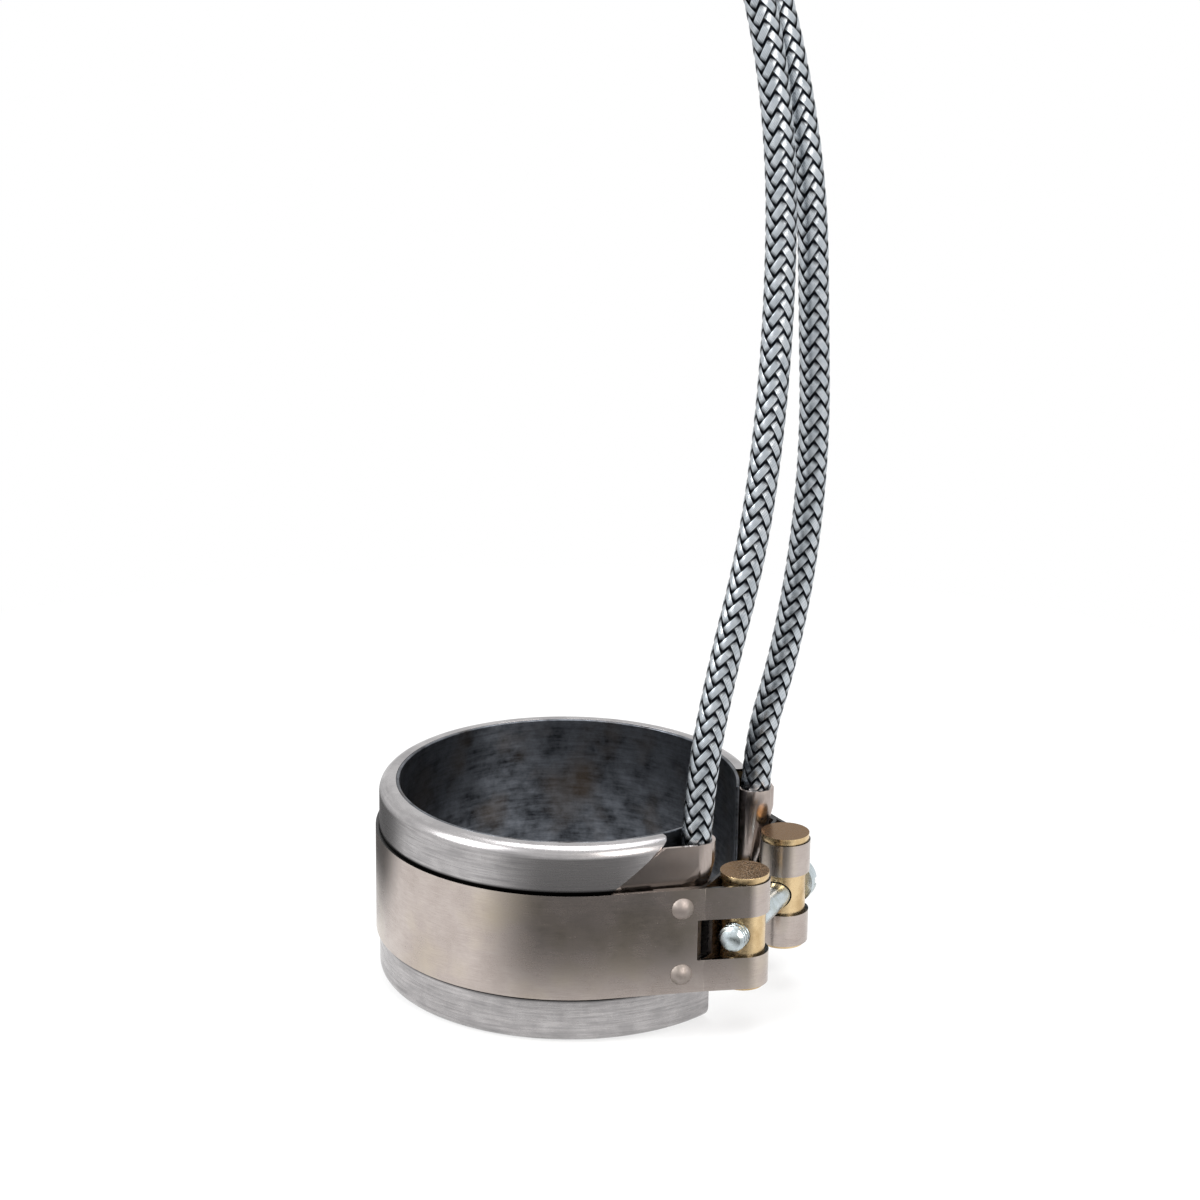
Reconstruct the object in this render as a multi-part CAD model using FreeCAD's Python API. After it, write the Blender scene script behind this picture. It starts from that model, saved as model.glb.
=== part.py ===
import FreeCAD, Part
import math
import os

from FreeCAD import Vector

# Nozzle band heater, millimetres, +Z up.  The bore axis is Z with the origin at mid-width.
# The ring's gap and its clamp face +X.  "front" is the -Y side and "rear" the +Y side.
# Angles are measured from +X, in degrees.

# Ring
BORE_D = 50.0           # nozzle diameter that the band closes on
WIDTH = 30.0            # along the bore
WALL = 3.0              # sheath to sheath
SHEET = 0.5             # stainless sheath strip
RIM_R = 1.7             # outside radius of the rolled rims
LINER_EDGE_R = 0.2      # broken edge of the bore liner
END_ANGLE = 17.8        # where each end of the ring stops
FIT = 0.05              # gap between nested curved strips
CUT_OVER = 2.0          # how far a cut runs past what it cuts

# Filling of the ring
CONTACT_T = 0.45        # mica between element and bore liner
RIBBON_T = 0.15
RIBBON_W = 2.8
RIBBON_PITCH = 5.2
RIBBON_PASSES = 5       # odd, so that the two ends come out at the two ends of the ring
RIBBON_TURN = 2.2       # width of the turns and risers along the ring
CORE_MARGIN = 0.35      # clearance of the filling to the rims
END_CAP_T = 0.5

# Lead entry
LEAD_D = 4.4            # over the braid
LEAD_ANGLE = 24.8
LEAD_TO_LINER = 0.15
HOOD_T = 0.5
HOOD_CLEAR = 0.15       # braid to hood
HOOD_DROP = 1.0         # hood mouth below the rim
MOUTH_DEPTH = 3.0       # straight part of the hood
BRAID_LIFT = 0.2        # lower end of the braid above the hood's funnel
HOOD_BUSH_CLEAR = 0.1   # hood foot to the terminal bush that it closes down on
HOOD_LAP = 6.0          # degrees of skirt past the slanting cut, before it is trimmed
HOOD_CUT_PAST = 2.0     # degrees that the hood's hollow runs past its outside
NOTCH_TOP_ANGLE = 34.0  # where the rolled rim is cut away
NOTCH_LOW_ANGLE = 53.0  # where the slanting cut meets the strap
NOTCH_FLOOR_Z = 2.0
CUT_CLEAR = 0.05

# Terminals
TERMINAL_D = 1.2
TERMINAL_BOTTOM_Z = -4.0
BUSH_D = 2.4
BUSH_H = 3.2
CRIMP_D = 2.7
CRIMP_GRIP = 2.6        # terminal inside the crimp
CRIMP_GAP = 0.3         # crimp to bush, and crimp to braid

# Clamp strap
STRAP_T = 0.5
STRAP_H = 16.0
BEND_OUT = 0.1          # crease outside the ring's outer radius, on the strap's middle line
STRAP_BEND_Y = 14.6
CREASE_R = 1.2
TAIL_GAP = 0.02
TAIL_LENGTH = 7.5
WINDOW_H = 6.2
WINDOW_LEAD = 0.7       # window before the crease
WINDOW_PAST_CREASE = 2.8  # how far that part of the window runs towards the loop
WINDOW_SCREW_CLEAR = 0.4  # screw to the edge of the window in the loop
HEAD_WINDOW_CLEAR = 0.3 # screw head to the wide part of the rear window

# Clamp hardware
PIN_D = 6.4
PIN_OUT = 3.6           # pin's axis outside the ring's outer radius
PIN_Y = 8.2
PIN_FIT = 0.05
DISC_D = 7.1
DISC_T = 1.0
DISC_BEVEL = 0.3
PIN_STICKOUT = 0.5
PIN_CHAMFER = 0.3
SCREW_D = 4.0
THREAD_FIT = 0.04
CLEARANCE_FIT = 0.15
SCREW_HEAD_D = 7.0
SCREW_HEAD_T = 2.4
SCREW_HEAD_R = 0.5
SLOT_W = 1.2
SLOT_DEPTH = 1.1
SCREW_PROTRUSION = 1.9  # tip beyond the nut
TIP_CHAMFER = 0.5
HEAD_SEAT = 0.03        # running gap under the head
HEAD_FLAT_DEPTH = 0.5   # flat milled into the rear pin for the head
RIVET_FROM_CREASE = 3.3
RIVET_SPACING = 10.2
RIVET_HEAD_D = 3.3
RIVET_HEAD_H = 0.8
RIVET_SHANK_D = 2.0
RIVET_FOOT_D = 3.0
RIVET_FOOT_H = 0.4

# Far ends of the leads
FERRULE_D = 5.2
FERRULE_L = 6.0
WIRE_D = 2.6
WIRE_L = 19.0
CONDUCTOR_D = 1.2
CONDUCTOR_L = 7.0

ARC_SHARE = 0.45        # share of a lead's shorter run that each arc takes

# Routes of the two leads from their starts inside the hoods to the ends of the braids
FRONT_ROUTE = [
    (0.2, 0.4, 10.8), (1.9, 3.3, 26.8), (4.9, 6.7, 44.8), (6.1, 9.1, 62.8), (6.3, 10.8, 80.8),
    (5.9, 11.2, 98.8), (3.6, 10.6, 116.8), (-0.8, 8.2, 133.8), (-9.3, 4.2, 149.3),
    (-21.8, -0.8, 160.3), (-37.3, -5.8, 164.3), (-52.3, -10.8, 159.3), (-63.3, -15.3, 148.8),
]
REAR_ROUTE = [
    (0.3, -0.2, 9.8), (3.9, -0.2, 23.3), (6.7, -0.6, 39.8), (8.3, -1.9, 57.8), (8.2, -3.7, 75.8),
    (7.6, -4.5, 93.8), (4.6, -5.8, 112.3), (0.3, -8.2, 128.8), (-8.3, -12.2, 144.8),
    (-20.8, -16.7, 157.3), (-35.8, -21.2, 163.3), (-51.3, -25.2, 161.3), (-63.8, -27.7, 153.3),
]

# Worked out
R_IN = BORE_D / 2
R_OUT = R_IN + WALL
HALF = WIDTH / 2
LINER_R = R_IN + SHEET
CAVITY_R = R_OUT - SHEET
CORE_Z = HALF - SHEET - CORE_MARGIN
ELEMENT_R = LINER_R + CONTACT_T
BACKING_R = ELEMENT_R + RIBBON_T
LEAD_R = LINER_R + LEAD_TO_LINER + LEAD_D / 2
HOOD_TOP = HALF - HOOD_DROP
MOUTH_Z = HOOD_TOP - MOUTH_DEPTH
BRAID_START_Z = MOUTH_Z + BRAID_LIFT
STRAP_R = R_OUT + FIT + STRAP_T / 2
STRAP_HALF = STRAP_H / 2
STRAP_BEND_X = R_OUT + BEND_OUT
PIN_X = R_OUT + PIN_OUT
LOOP_R = PIN_D / 2 + PIN_FIT + STRAP_T / 2
TERMINAL_R = BACKING_R + TERMINAL_D / 2
BUSH_R = LINER_R + FIT + BUSH_D / 2
FAR_END_ANGLE = 360 - END_ANGLE
ORIGIN = Vector(0, 0, 0)
Y_AXIS = Vector(0, 1, 0)
Z_AXIS = Vector(0, 0, 1)


def polar(radius, angle, z=0.0):
    a = math.radians(angle)
    return Vector(radius * math.cos(a), radius * math.sin(a), z)


def mirrored(shape):
    return shape.mirror(ORIGIN, Y_AXIS)


def largest(shape):
    return max(shape.Solids, key=lambda s: s.Volume)


def cylinder(radius, z0, z1, x=0.0, y=0.0):
    return Part.makeCylinder(radius, z1 - z0, Vector(x, y, z0))


def band(r0, r1, z0, z1, start, end):
    """A piece of a cylindrical strip between two angles."""
    corners = [polar(r, start, z) for r, z in ((r0, z0), (r1, z0), (r1, z1), (r0, z1))]
    face = Part.Face(Part.makePolygon(corners + corners[:1]))
    return face.revolve(ORIGIN, Z_AXIS, end - start)


def from_profile(edges, start, end):
    """Revolves a profile drawn in the XZ plane from one angle to the other."""
    face = Part.Face(Part.Wire(edges))
    face.rotate(ORIGIN, Z_AXIS, start)
    return face.revolve(ORIGIN, Z_AXIS, end - start)


def arc(centre, radius, start, end, z=0.0):
    """Arc in plan about a centre, from one angle to the other."""
    mid = (start + end) / 2
    base = Vector(centre.x, centre.y, z)
    points = [base + polar(radius, a) for a in (start, mid, end)]
    return Part.Arc(*points).toShape()


def line(p, q):
    return Part.LineSegment(p, q).toShape()


# ---------------------------------------------------------------- ring

def ring_notch(clear=0.0):
    """Block that takes the rolled rim and the outer sheath away over the front lead's entry."""
    middle = (END_ANGLE + NOTCH_LOW_ANGLE) / 2
    out = polar(1, -middle)
    along = Vector(out.y, -out.x, 0)
    near = R_IN * math.cos(math.radians(NOTCH_LOW_ANGLE - middle))

    def at(angle, z):
        reach = R_OUT * math.sin(math.radians(angle - middle))
        return out * near + along * reach + Z_AXIS * z

    top = at(NOTCH_TOP_ANGLE, HALF)
    low = at(NOTCH_LOW_ANGLE, STRAP_HALF)
    slant = (low - top).normalize()
    aside = along * clear
    above = top - slant * CUT_OVER - aside
    floor_z = NOTCH_FLOOR_Z + clear
    gap = at(0, above.z)
    points = [above, low - aside, Vector(low.x, low.y, floor_z) - aside,
              Vector(gap.x, gap.y, floor_z), gap]
    face = Part.Face(Part.makePolygon(points + points[:1]))
    return face.extrude(out * (R_OUT + CUT_OVER - near))


def both_notches():
    notch = ring_notch()
    return notch.fuse(mirrored(notch))


def outer_sheath():
    inner = RIM_R - SHEET

    def rim(side):
        """Outside corner, flange and inside corner of one rolled rim, from wall to wall."""
        z = side * HALF
        corner = Vector(R_OUT - RIM_R, 0, z - side * RIM_R)

        def on(radius, angle):
            a = math.radians(angle)
            return corner + Vector(radius * math.cos(a), 0, side * radius * math.sin(a))

        lip = LINER_R
        return [
            Part.Arc(on(RIM_R, 0), on(RIM_R, 45), on(RIM_R, 90)).toShape(),
            line(on(RIM_R, 90), Vector(lip, 0, z)),
            line(Vector(lip, 0, z), Vector(lip, 0, z - side * SHEET)),
            line(Vector(lip, 0, z - side * SHEET), on(inner, 90)),
            Part.Arc(on(inner, 90), on(inner, 45), on(inner, 0)).toShape(),
        ]

    top, bottom = rim(1), rim(-1)
    straight = HALF - RIM_R
    edges = top + [line(Vector(CAVITY_R, 0, straight), Vector(CAVITY_R, 0, -straight))]
    edges += bottom[::-1] + [line(Vector(R_OUT, 0, -straight), Vector(R_OUT, 0, straight))]
    return from_profile(edges, END_ANGLE, FAR_END_ANGLE).cut(both_notches())


def inner_sheath():
    liner = band(R_IN, LINER_R, -HALF, HALF, END_ANGLE, FAR_END_ANGLE)
    rims = [e for e in liner.Edges if e.Curve.TypeId == "Part::GeomCircle"
            and abs(e.Curve.Radius - R_IN) < FIT]
    return liner.makeFillet(LINER_EDGE_R, rims)


def filling(r0, r1, corner=0.0):
    """One layer of the ring's filling, between the end caps."""
    cap = math.degrees((END_CAP_T + FIT) / R_IN)
    layer = band(r0, r1, -CORE_Z, CORE_Z, END_ANGLE + cap, FAR_END_ANGLE - cap)
    if corner:
        rims = [e for e in layer.Edges if e.Curve.TypeId == "Part::GeomCircle"
                and abs(e.Curve.Radius - r1) < FIT / 2]
        layer = layer.makeFillet(corner, rims)
    return layer.cut(both_notches())


def contact_insulation():
    return filling(LINER_R, ELEMENT_R)


def backing_insulation():
    corner = min(RIM_R - SHEET, CAVITY_R - BACKING_R - 2 * FIT)
    layer = filling(BACKING_R, CAVITY_R - FIT, corner)
    for side in (-1, 1):
        centre = polar(TERMINAL_R, side * LEAD_ANGLE)
        layer = layer.cut(cylinder(TERMINAL_D / 2 + FIT, TERMINAL_BOTTOM_Z - FIT, HALF,
                                   centre.x, centre.y))
    return layer


def heating_element():
    """Resistance ribbon folded into passes round the ring, with a riser to each terminal."""
    def ribbon(z0, z1, start, end):
        return band(ELEMENT_R, BACKING_R, z0, z1, start, end)

    turn = math.degrees(RIBBON_TURN / ELEMENT_R)
    riser = LEAD_ANGLE - turn / 2
    riser_top = NOTCH_FLOOR_Z - CORE_MARGIN
    first = NOTCH_LOW_ANGLE + 2 * turn
    rear = 360 - first
    lowest = -(RIBBON_PASSES - 1) * RIBBON_PITCH / 2 - RIBBON_W / 2
    rows = [lowest + i * RIBBON_PITCH for i in range(RIBBON_PASSES)]
    pieces = [
        ribbon(rows[0], rows[0] + RIBBON_W, riser, first),
        ribbon(rows[0], riser_top, riser, riser + turn),
        ribbon(riser_top - RIBBON_W, rows[-1] + RIBBON_W, rear, rear + turn / 2),
        ribbon(riser_top - RIBBON_W, riser_top, rear, 360 - riser),
    ]
    for i, z in enumerate(rows):
        last = rear if i == RIBBON_PASSES - 1 else rear - turn
        pieces.append(ribbon(z, z + RIBBON_W, first, last))
        if i < RIBBON_PASSES - 1:
            at = last - turn if i % 2 == 0 else first
            pieces.append(ribbon(z, rows[i + 1] + RIBBON_W, at, at + turn))
    return pieces[0].fuse(pieces[1:]).removeSplitter()


def front_end_cap():
    """Plate that closes the cavity under the lead entry."""
    far = END_ANGLE + math.degrees(END_CAP_T / R_IN)
    corner = min(RIM_R - SHEET, CAVITY_R - LINER_R - 3 * FIT)
    plate = band(LINER_R + FIT, CAVITY_R - FIT, -HALF + SHEET + FIT, NOTCH_FLOOR_Z - FIT,
                 -far, -END_ANGLE)
    low = [e for e in plate.Edges if e.Curve.TypeId == "Part::GeomCircle"
           and abs(e.Curve.Radius - CAVITY_R + FIT) < FIT / 2 and e.CenterOfMass.z < 0]
    return plate.makeFillet(corner, low)


# ---------------------------------------------------------------- lead entry

def hood_section(z, centre_r, tube_r, skirt_r, past):
    """Closed outline at one height: an arc on the skirt, a tangent, and the tube's outside."""
    lead = -LEAD_ANGLE
    slope = math.degrees(math.acos((skirt_r - tube_r) / centre_r))
    centre = polar(centre_r, lead)
    edge = -(NOTCH_LOW_ANGLE + HOOD_LAP + past)
    inside = LINER_R - CUT_OVER
    skirt_in = polar(inside, edge, z)
    tube_in = polar(inside, lead + past, z)
    touch = lead - slope
    last = lead + 180
    return Part.Wire([
        line(skirt_in, polar(skirt_r, edge, z)),
        arc(ORIGIN, skirt_r, edge, touch, z),
        line(polar(skirt_r, touch, z), centre + polar(tube_r, touch, z)),
        arc(centre, tube_r, touch, last, z),
        line(centre + polar(tube_r, last, z), tube_in),
        line(tube_in, skirt_in),
    ])


def hood_body(inset, past, high):
    """Funnel that closes down on the ring, under a straight mouth."""
    mouth_tube = LEAD_D / 2 + HOOD_CLEAR + HOOD_T - inset
    foot_tube = BUSH_D / 2 + HOOD_BUSH_CLEAR + HOOD_T - inset
    skirt = CAVITY_R - FIT - inset
    foot = hood_section(NOTCH_FLOOR_Z, BUSH_R, foot_tube, skirt, past)
    mouth = hood_section(MOUTH_Z, LEAD_R, mouth_tube, skirt, past)
    funnel = Part.makeLoft([foot, mouth], True, True)
    straight = Part.Face(mouth).extrude(Z_AXIS * (HOOD_TOP + high - MOUTH_Z))
    return funnel.fuse(straight)


def front_lead_cover():
    """Sheet hood round the lead, from the slanting cut in the sheath to the bore liner."""
    shell = hood_body(0.0, 0.0, 0.0).cut(hood_body(HOOD_T, HOOD_CUT_PAST, CUT_OVER))
    shell = shell.common(ring_notch(CUT_CLEAR))
    return largest(shell.cut(cylinder(LINER_R + FIT, -HALF, HALF)))


def front_terminal_pin():
    centre = polar(TERMINAL_R, -LEAD_ANGLE)
    top = NOTCH_FLOOR_Z + BUSH_H + CRIMP_GAP + CRIMP_GRIP
    return cylinder(TERMINAL_D / 2, TERMINAL_BOTTOM_Z, top, centre.x, centre.y)


def front_terminal_bush():
    centre = polar(BUSH_R, -LEAD_ANGLE)
    hole = polar(TERMINAL_R, -LEAD_ANGLE)
    bush = cylinder(BUSH_D / 2, NOTCH_FLOOR_Z, NOTCH_FLOOR_Z + BUSH_H, centre.x, centre.y)
    return bush.cut(cylinder(TERMINAL_D / 2, -HALF, HALF, hole.x, hole.y))


def front_crimp():
    centre = polar(LINER_R + FIT + CRIMP_D / 2, -LEAD_ANGLE)
    hole = polar(TERMINAL_R, -LEAD_ANGLE)
    low = NOTCH_FLOOR_Z + BUSH_H + CRIMP_GAP
    crimp = cylinder(CRIMP_D / 2, low, BRAID_START_Z - CRIMP_GAP, centre.x, centre.y)
    return crimp.cut(cylinder(TERMINAL_D / 2, low - CUT_OVER, low + CRIMP_GRIP, hole.x, hole.y))


# ---------------------------------------------------------------- clamp

def heading(v):
    return math.degrees(math.atan2(v.y, v.x))


def tangent_point(p, centre, radius, side):
    """Where the tangent from p touches a circle, on its left (side 1) or right (side -1)."""
    away = p - centre
    spread = math.degrees(math.acos(radius / away.Length))
    return centre + polar(radius, heading(away) + side * spread)


def crease(p, q, r, radius):
    """Arc that rounds the corner q of the line p-q-r: centre, start and end angle, ends."""
    u, v = (p - q).normalize(), (r - q).normalize()
    half = u.getAngle(v) / 2
    reach = radius / math.tan(half)
    centre = q + (u + v).normalize() * (radius / math.sin(half))
    a, b = q + u * reach, q + v * reach
    start = heading(a - centre)
    sweep = (heading(b - centre) - start + 180) % 360 - 180
    return ("arc", centre, radius, start, start + sweep), a, b


def strap_path():
    """Middle line of the whole strap in plan, as tangent lines and arcs, tail end to tail end."""
    pin = Vector(PIN_X, -PIN_Y, 0)
    bend = Vector(STRAP_BEND_X, -STRAP_BEND_Y, 0)
    leave = tangent_point(bend, ORIGIN, STRAP_R, -1)
    run = (bend - leave).normalize()
    inward = Vector(-run.y, run.x, 0)
    tail_bend = bend + inward * (STRAP_T + TAIL_GAP)
    tail_end = tail_bend - run * TAIL_LENGTH
    inner = tangent_point(tail_bend, pin, LOOP_R, -1)
    outer = tangent_point(bend, pin, LOOP_R, 1)
    first, a, b = crease(tail_end, tail_bend, inner, CREASE_R)
    second, c, d = crease(outer, bend, leave, CREASE_R)
    start = heading(inner - pin)
    end = heading(outer - pin)
    half = [
        ("line", tail_end, a), first, ("line", b, inner),
        ("arc", pin, LOOP_R, start, start - (start - end) % 360),
        ("line", outer, c), second, ("line", d, leave),
    ]
    around = heading(leave)
    back = ("arc", ORIGIN, STRAP_R, around, -360 - around)

    def flip(p):
        return Vector(p.x, -p.y, 0)

    rest = []
    for item in reversed(half):
        if item[0] == "line":
            rest.append(("line", flip(item[2]), flip(item[1])))
        else:
            rest.append(("arc", flip(item[1]), item[2], -item[4], -item[3]))
    return half + [back] + rest


def parallel(path, offset):
    """Edges of the line that runs beside the path, on its left for a positive offset."""
    edges = []
    for item in path:
        if item[0] == "line":
            p, q = item[1], item[2]
            run = (q - p).normalize()
            shift = Vector(-run.y, run.x, 0) * offset
            edges.append(line(p + shift, q + shift))
        else:
            _, centre, radius, start, end = item
            turn = 1 if end > start else -1
            edges.append(arc(centre, radius - turn * offset, start, end))
    return edges


def ends(edges):
    first, last = edges[0], edges[-1]
    return (first.valueAt(first.FirstParameter), last.valueAt(last.LastParameter))


def clamp_strap():
    path = strap_path()
    left = parallel(path, STRAP_T / 2)
    right = parallel(path, -STRAP_T / 2)
    start_left, end_left = ends(left)
    start_right, end_right = ends(right)
    outline = left + [line(end_left, end_right)] + right[::-1] + [line(start_right, start_left)]
    face = Part.Face(Part.Wire(outline))
    face.translate(Z_AXIS * -STRAP_HALF)
    strap = face.extrude(Z_AXIS * STRAP_H)
    reach = PIN_X + LOOP_R + CUT_OVER
    start = STRAP_BEND_X - WINDOW_LEAD
    outer = Part.makeBox(reach - start, WINDOW_PAST_CREASE + CUT_OVER, WINDOW_H,
                         Vector(start, -STRAP_BEND_Y - CUT_OVER, -WINDOW_H / 2))
    start = PIN_X - SCREW_D / 2 - WINDOW_SCREW_CLEAR
    loop = Part.makeBox(reach - start, STRAP_BEND_Y, WINDOW_H,
                        Vector(start, -STRAP_BEND_Y, -WINDOW_H / 2))
    window = outer.fuse(loop)
    return strap.cut(window).cut(mirrored(window)).cut(head_room())


def head_flat_y():
    return PIN_Y + PIN_D / 2 - HEAD_FLAT_DEPTH


def head_room():
    """Space that the screw head needs outside the rear pin's flat."""
    high = SCREW_HEAD_D + 2 * HEAD_WINDOW_CLEAR
    low_x = PIN_X - high / 2
    return Part.makeBox(PIN_D + high, STRAP_BEND_Y, high,
                        Vector(low_x, head_flat_y(), -high / 2))


def front_rivets():
    """Two domed rivets through the strap and its tail."""
    bend = Vector(STRAP_BEND_X, -STRAP_BEND_Y, 0)
    leave = tangent_point(bend, ORIGIN, STRAP_R, -1)
    run = (bend - leave).normalize()
    out = Vector(run.y, -run.x, 0)
    rivets = []
    for side in (-1, 1):
        seat = bend - run * RIVET_FROM_CREASE + out * (STRAP_T / 2)
        seat.z = side * RIVET_SPACING / 2
        through = 2 * STRAP_T + TAIL_GAP
        shank = Part.makeCylinder(RIVET_SHANK_D / 2, through, seat - out * through, out)
        foot = Part.makeCylinder(RIVET_FOOT_D / 2, RIVET_FOOT_H,
                                 seat - out * (through + RIVET_FOOT_H), out)
        r = RIVET_HEAD_D / 2
        ball_r = (r * r + RIVET_HEAD_H ** 2) / (2 * RIVET_HEAD_H)
        ball = Part.makeSphere(ball_r, seat + out * (RIVET_HEAD_H - ball_r))
        head = Part.makeCylinder(r, RIVET_HEAD_H, seat, out).common(ball)
        rivets.append(shank.fuse([foot, head]).removeSplitter())
    return Part.makeCompound(rivets)


def strap_with_holes():
    strap = clamp_strap()
    rivets = front_rivets()
    return strap.cut(rivets).cut(mirrored(rivets))


def barrel_pin(side, bore):
    """Headed cross pin in one loop of the strap, drilled for the screw."""
    y = side * PIN_Y
    body = cylinder(PIN_D / 2, -STRAP_HALF - PIN_STICKOUT, STRAP_HALF, PIN_X, y)
    foot = [e for e in body.Edges if abs(e.CenterOfMass.z + STRAP_HALF + PIN_STICKOUT) < FIT]
    body = body.makeChamfer(PIN_CHAMFER, foot)
    disc = cylinder(DISC_D / 2, STRAP_HALF, STRAP_HALF + DISC_T, PIN_X, y)
    disc = disc.makeChamfer(DISC_BEVEL, [e for e in disc.Edges if e.Curve.TypeId == "Part::GeomCircle"])
    hole = Part.makeCylinder(bore / 2, 2 * PIN_D, Vector(PIN_X, y - PIN_D, 0), Y_AXIS)
    pin = body.fuse(disc).cut(hole)
    return pin.cut(head_room()) if side > 0 else pin


def clamp_screw():
    """Slotted cheese-head screw, head on the rear pin and tip through the front nut."""
    seat = head_flat_y() + HEAD_SEAT
    tip = -PIN_Y - PIN_D / 2 - SCREW_PROTRUSION
    shank = Part.makeCylinder(SCREW_D / 2, seat - tip, Vector(PIN_X, tip, 0), Y_AXIS)
    shank = shank.makeChamfer(TIP_CHAMFER, [e for e in shank.Edges if e.CenterOfMass.y < tip + FIT])
    head = Part.makeCylinder(SCREW_HEAD_D / 2, SCREW_HEAD_T, Vector(PIN_X, seat, 0), Y_AXIS)
    crown = [e for e in head.Edges if e.CenterOfMass.y > seat + SCREW_HEAD_T - FIT]
    head = head.makeFillet(SCREW_HEAD_R, crown)
    slot = Part.makeBox(SCREW_HEAD_D, SLOT_DEPTH, SLOT_W,
                        Vector(PIN_X - SCREW_HEAD_D / 2, seat + SCREW_HEAD_T - SLOT_DEPTH,
                               -SLOT_W / 2))
    return shank.fuse(head).removeSplitter().cut(slot)


# ---------------------------------------------------------------- leads

def route_wire(points, name):
    """Straight runs joined by tangent arcs, as large as the two runs beside them allow."""
    edges = []
    at = points[0]
    radii = []
    for p, q, r in zip(points, points[1:], points[2:]):
        u, v = (p - q), (r - q)
        shorter = min(u.Length, v.Length)
        u.normalize()
        v.normalize()
        turn = math.pi - u.getAngle(v)
        reach = ARC_SHARE * shorter
        radii.append(reach / math.tan(turn / 2))
        a, b = q + u * reach, q + v * reach
        inward = (u + v).normalize()
        centre_gap = math.hypot(radii[-1], reach)
        middle = q + inward * (centre_gap - radii[-1])
        edges += [line(at, a), Part.Arc(a, middle, b).toShape()]
        at = b
    edges.append(line(at, points[-1]))
    wire = Part.Wire(edges)
    print(name, "length", round(wire.Length, 1), "radii", [round(r) for r in radii])
    return wire


def lead_points(side, route):
    start = polar(LEAD_R, side * LEAD_ANGLE, BRAID_START_Z)
    return [start] + [start + Vector(*p) for p in route]


def lead_braid(side, route, name):
    points = lead_points(side, route)
    wire = route_wire(points, name)
    run = points[1] - points[0]
    ring = Part.Wire(Part.makeCircle(LEAD_D / 2, points[0], run))
    tube = wire.makePipeShell([ring], True, False)
    share = tube.Volume / (math.pi * LEAD_D ** 2 / 4 * wire.Length)
    print(name, "volume over section times length", round(share, 4))
    return tube


def far_end(side, route):
    """Ferrule, insulated wire and bare conductor beyond the end of the braid."""
    points = lead_points(side, route)
    end = points[-1]
    out = (end - points[-2]).normalize()

    def rod(diameter, start, length):
        return Part.makeCylinder(diameter / 2, length, end + out * start, out)

    wire = rod(WIRE_D, 0, WIRE_L)
    ferrule = rod(FERRULE_D, 0, FERRULE_L).cut(wire)
    return ferrule, wire, rod(CONDUCTOR_D, WIRE_L, CONDUCTOR_L)


# ---------------------------------------------------------------- assembly

def all_parts():
    parts = {
        "outer_sheath": outer_sheath(),
        "inner_sheath": inner_sheath(),
        "contact_insulation": contact_insulation(),
        "backing_insulation": backing_insulation(),
        "heating_element": heating_element(),
        "clamp_strap": strap_with_holes(),
        "front_barrel_nut": barrel_pin(-1, SCREW_D + 2 * THREAD_FIT),
        "rear_barrel_pin": barrel_pin(1, SCREW_D + 2 * CLEARANCE_FIT),
        "clamp_screw": clamp_screw(),
    }
    paired = {
        "end_cap": front_end_cap(),
        "lead_cover": front_lead_cover(),
        "terminal_pin": front_terminal_pin(),
        "terminal_bush": front_terminal_bush(),
        "crimp": front_crimp(),
        "rivets": front_rivets(),
    }
    for name, shape in paired.items():
        parts["front_" + name] = shape
        parts["rear_" + name] = mirrored(shape)
    for end, side, route in (("front", -1, FRONT_ROUTE), ("rear", 1, REAR_ROUTE)):
        parts[end + "_lead_braid"] = lead_braid(side, route, end + "_lead_braid")
        ferrule, wire, conductor = far_end(side, route)
        parts[end + "_lead_ferrule"] = ferrule
        parts[end + "_lead_wire"] = wire
        parts[end + "_lead_conductor"] = conductor
    return parts


def main():
    os.makedirs("parts", exist_ok=True)
    for name, shape in all_parts().items():
        if not shape.isValid() or not shape.Solids:
            raise ValueError(name + " is not a valid solid")
        shape.exportStep("parts/" + name + ".step")


main()
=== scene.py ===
"""Dresses the nozzle band heater: rolled ring, strap clamp with its screw, braided leads."""

import math

import bmesh
import bpy
import numpy as np
from mathutils import Matrix, Vector


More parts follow.
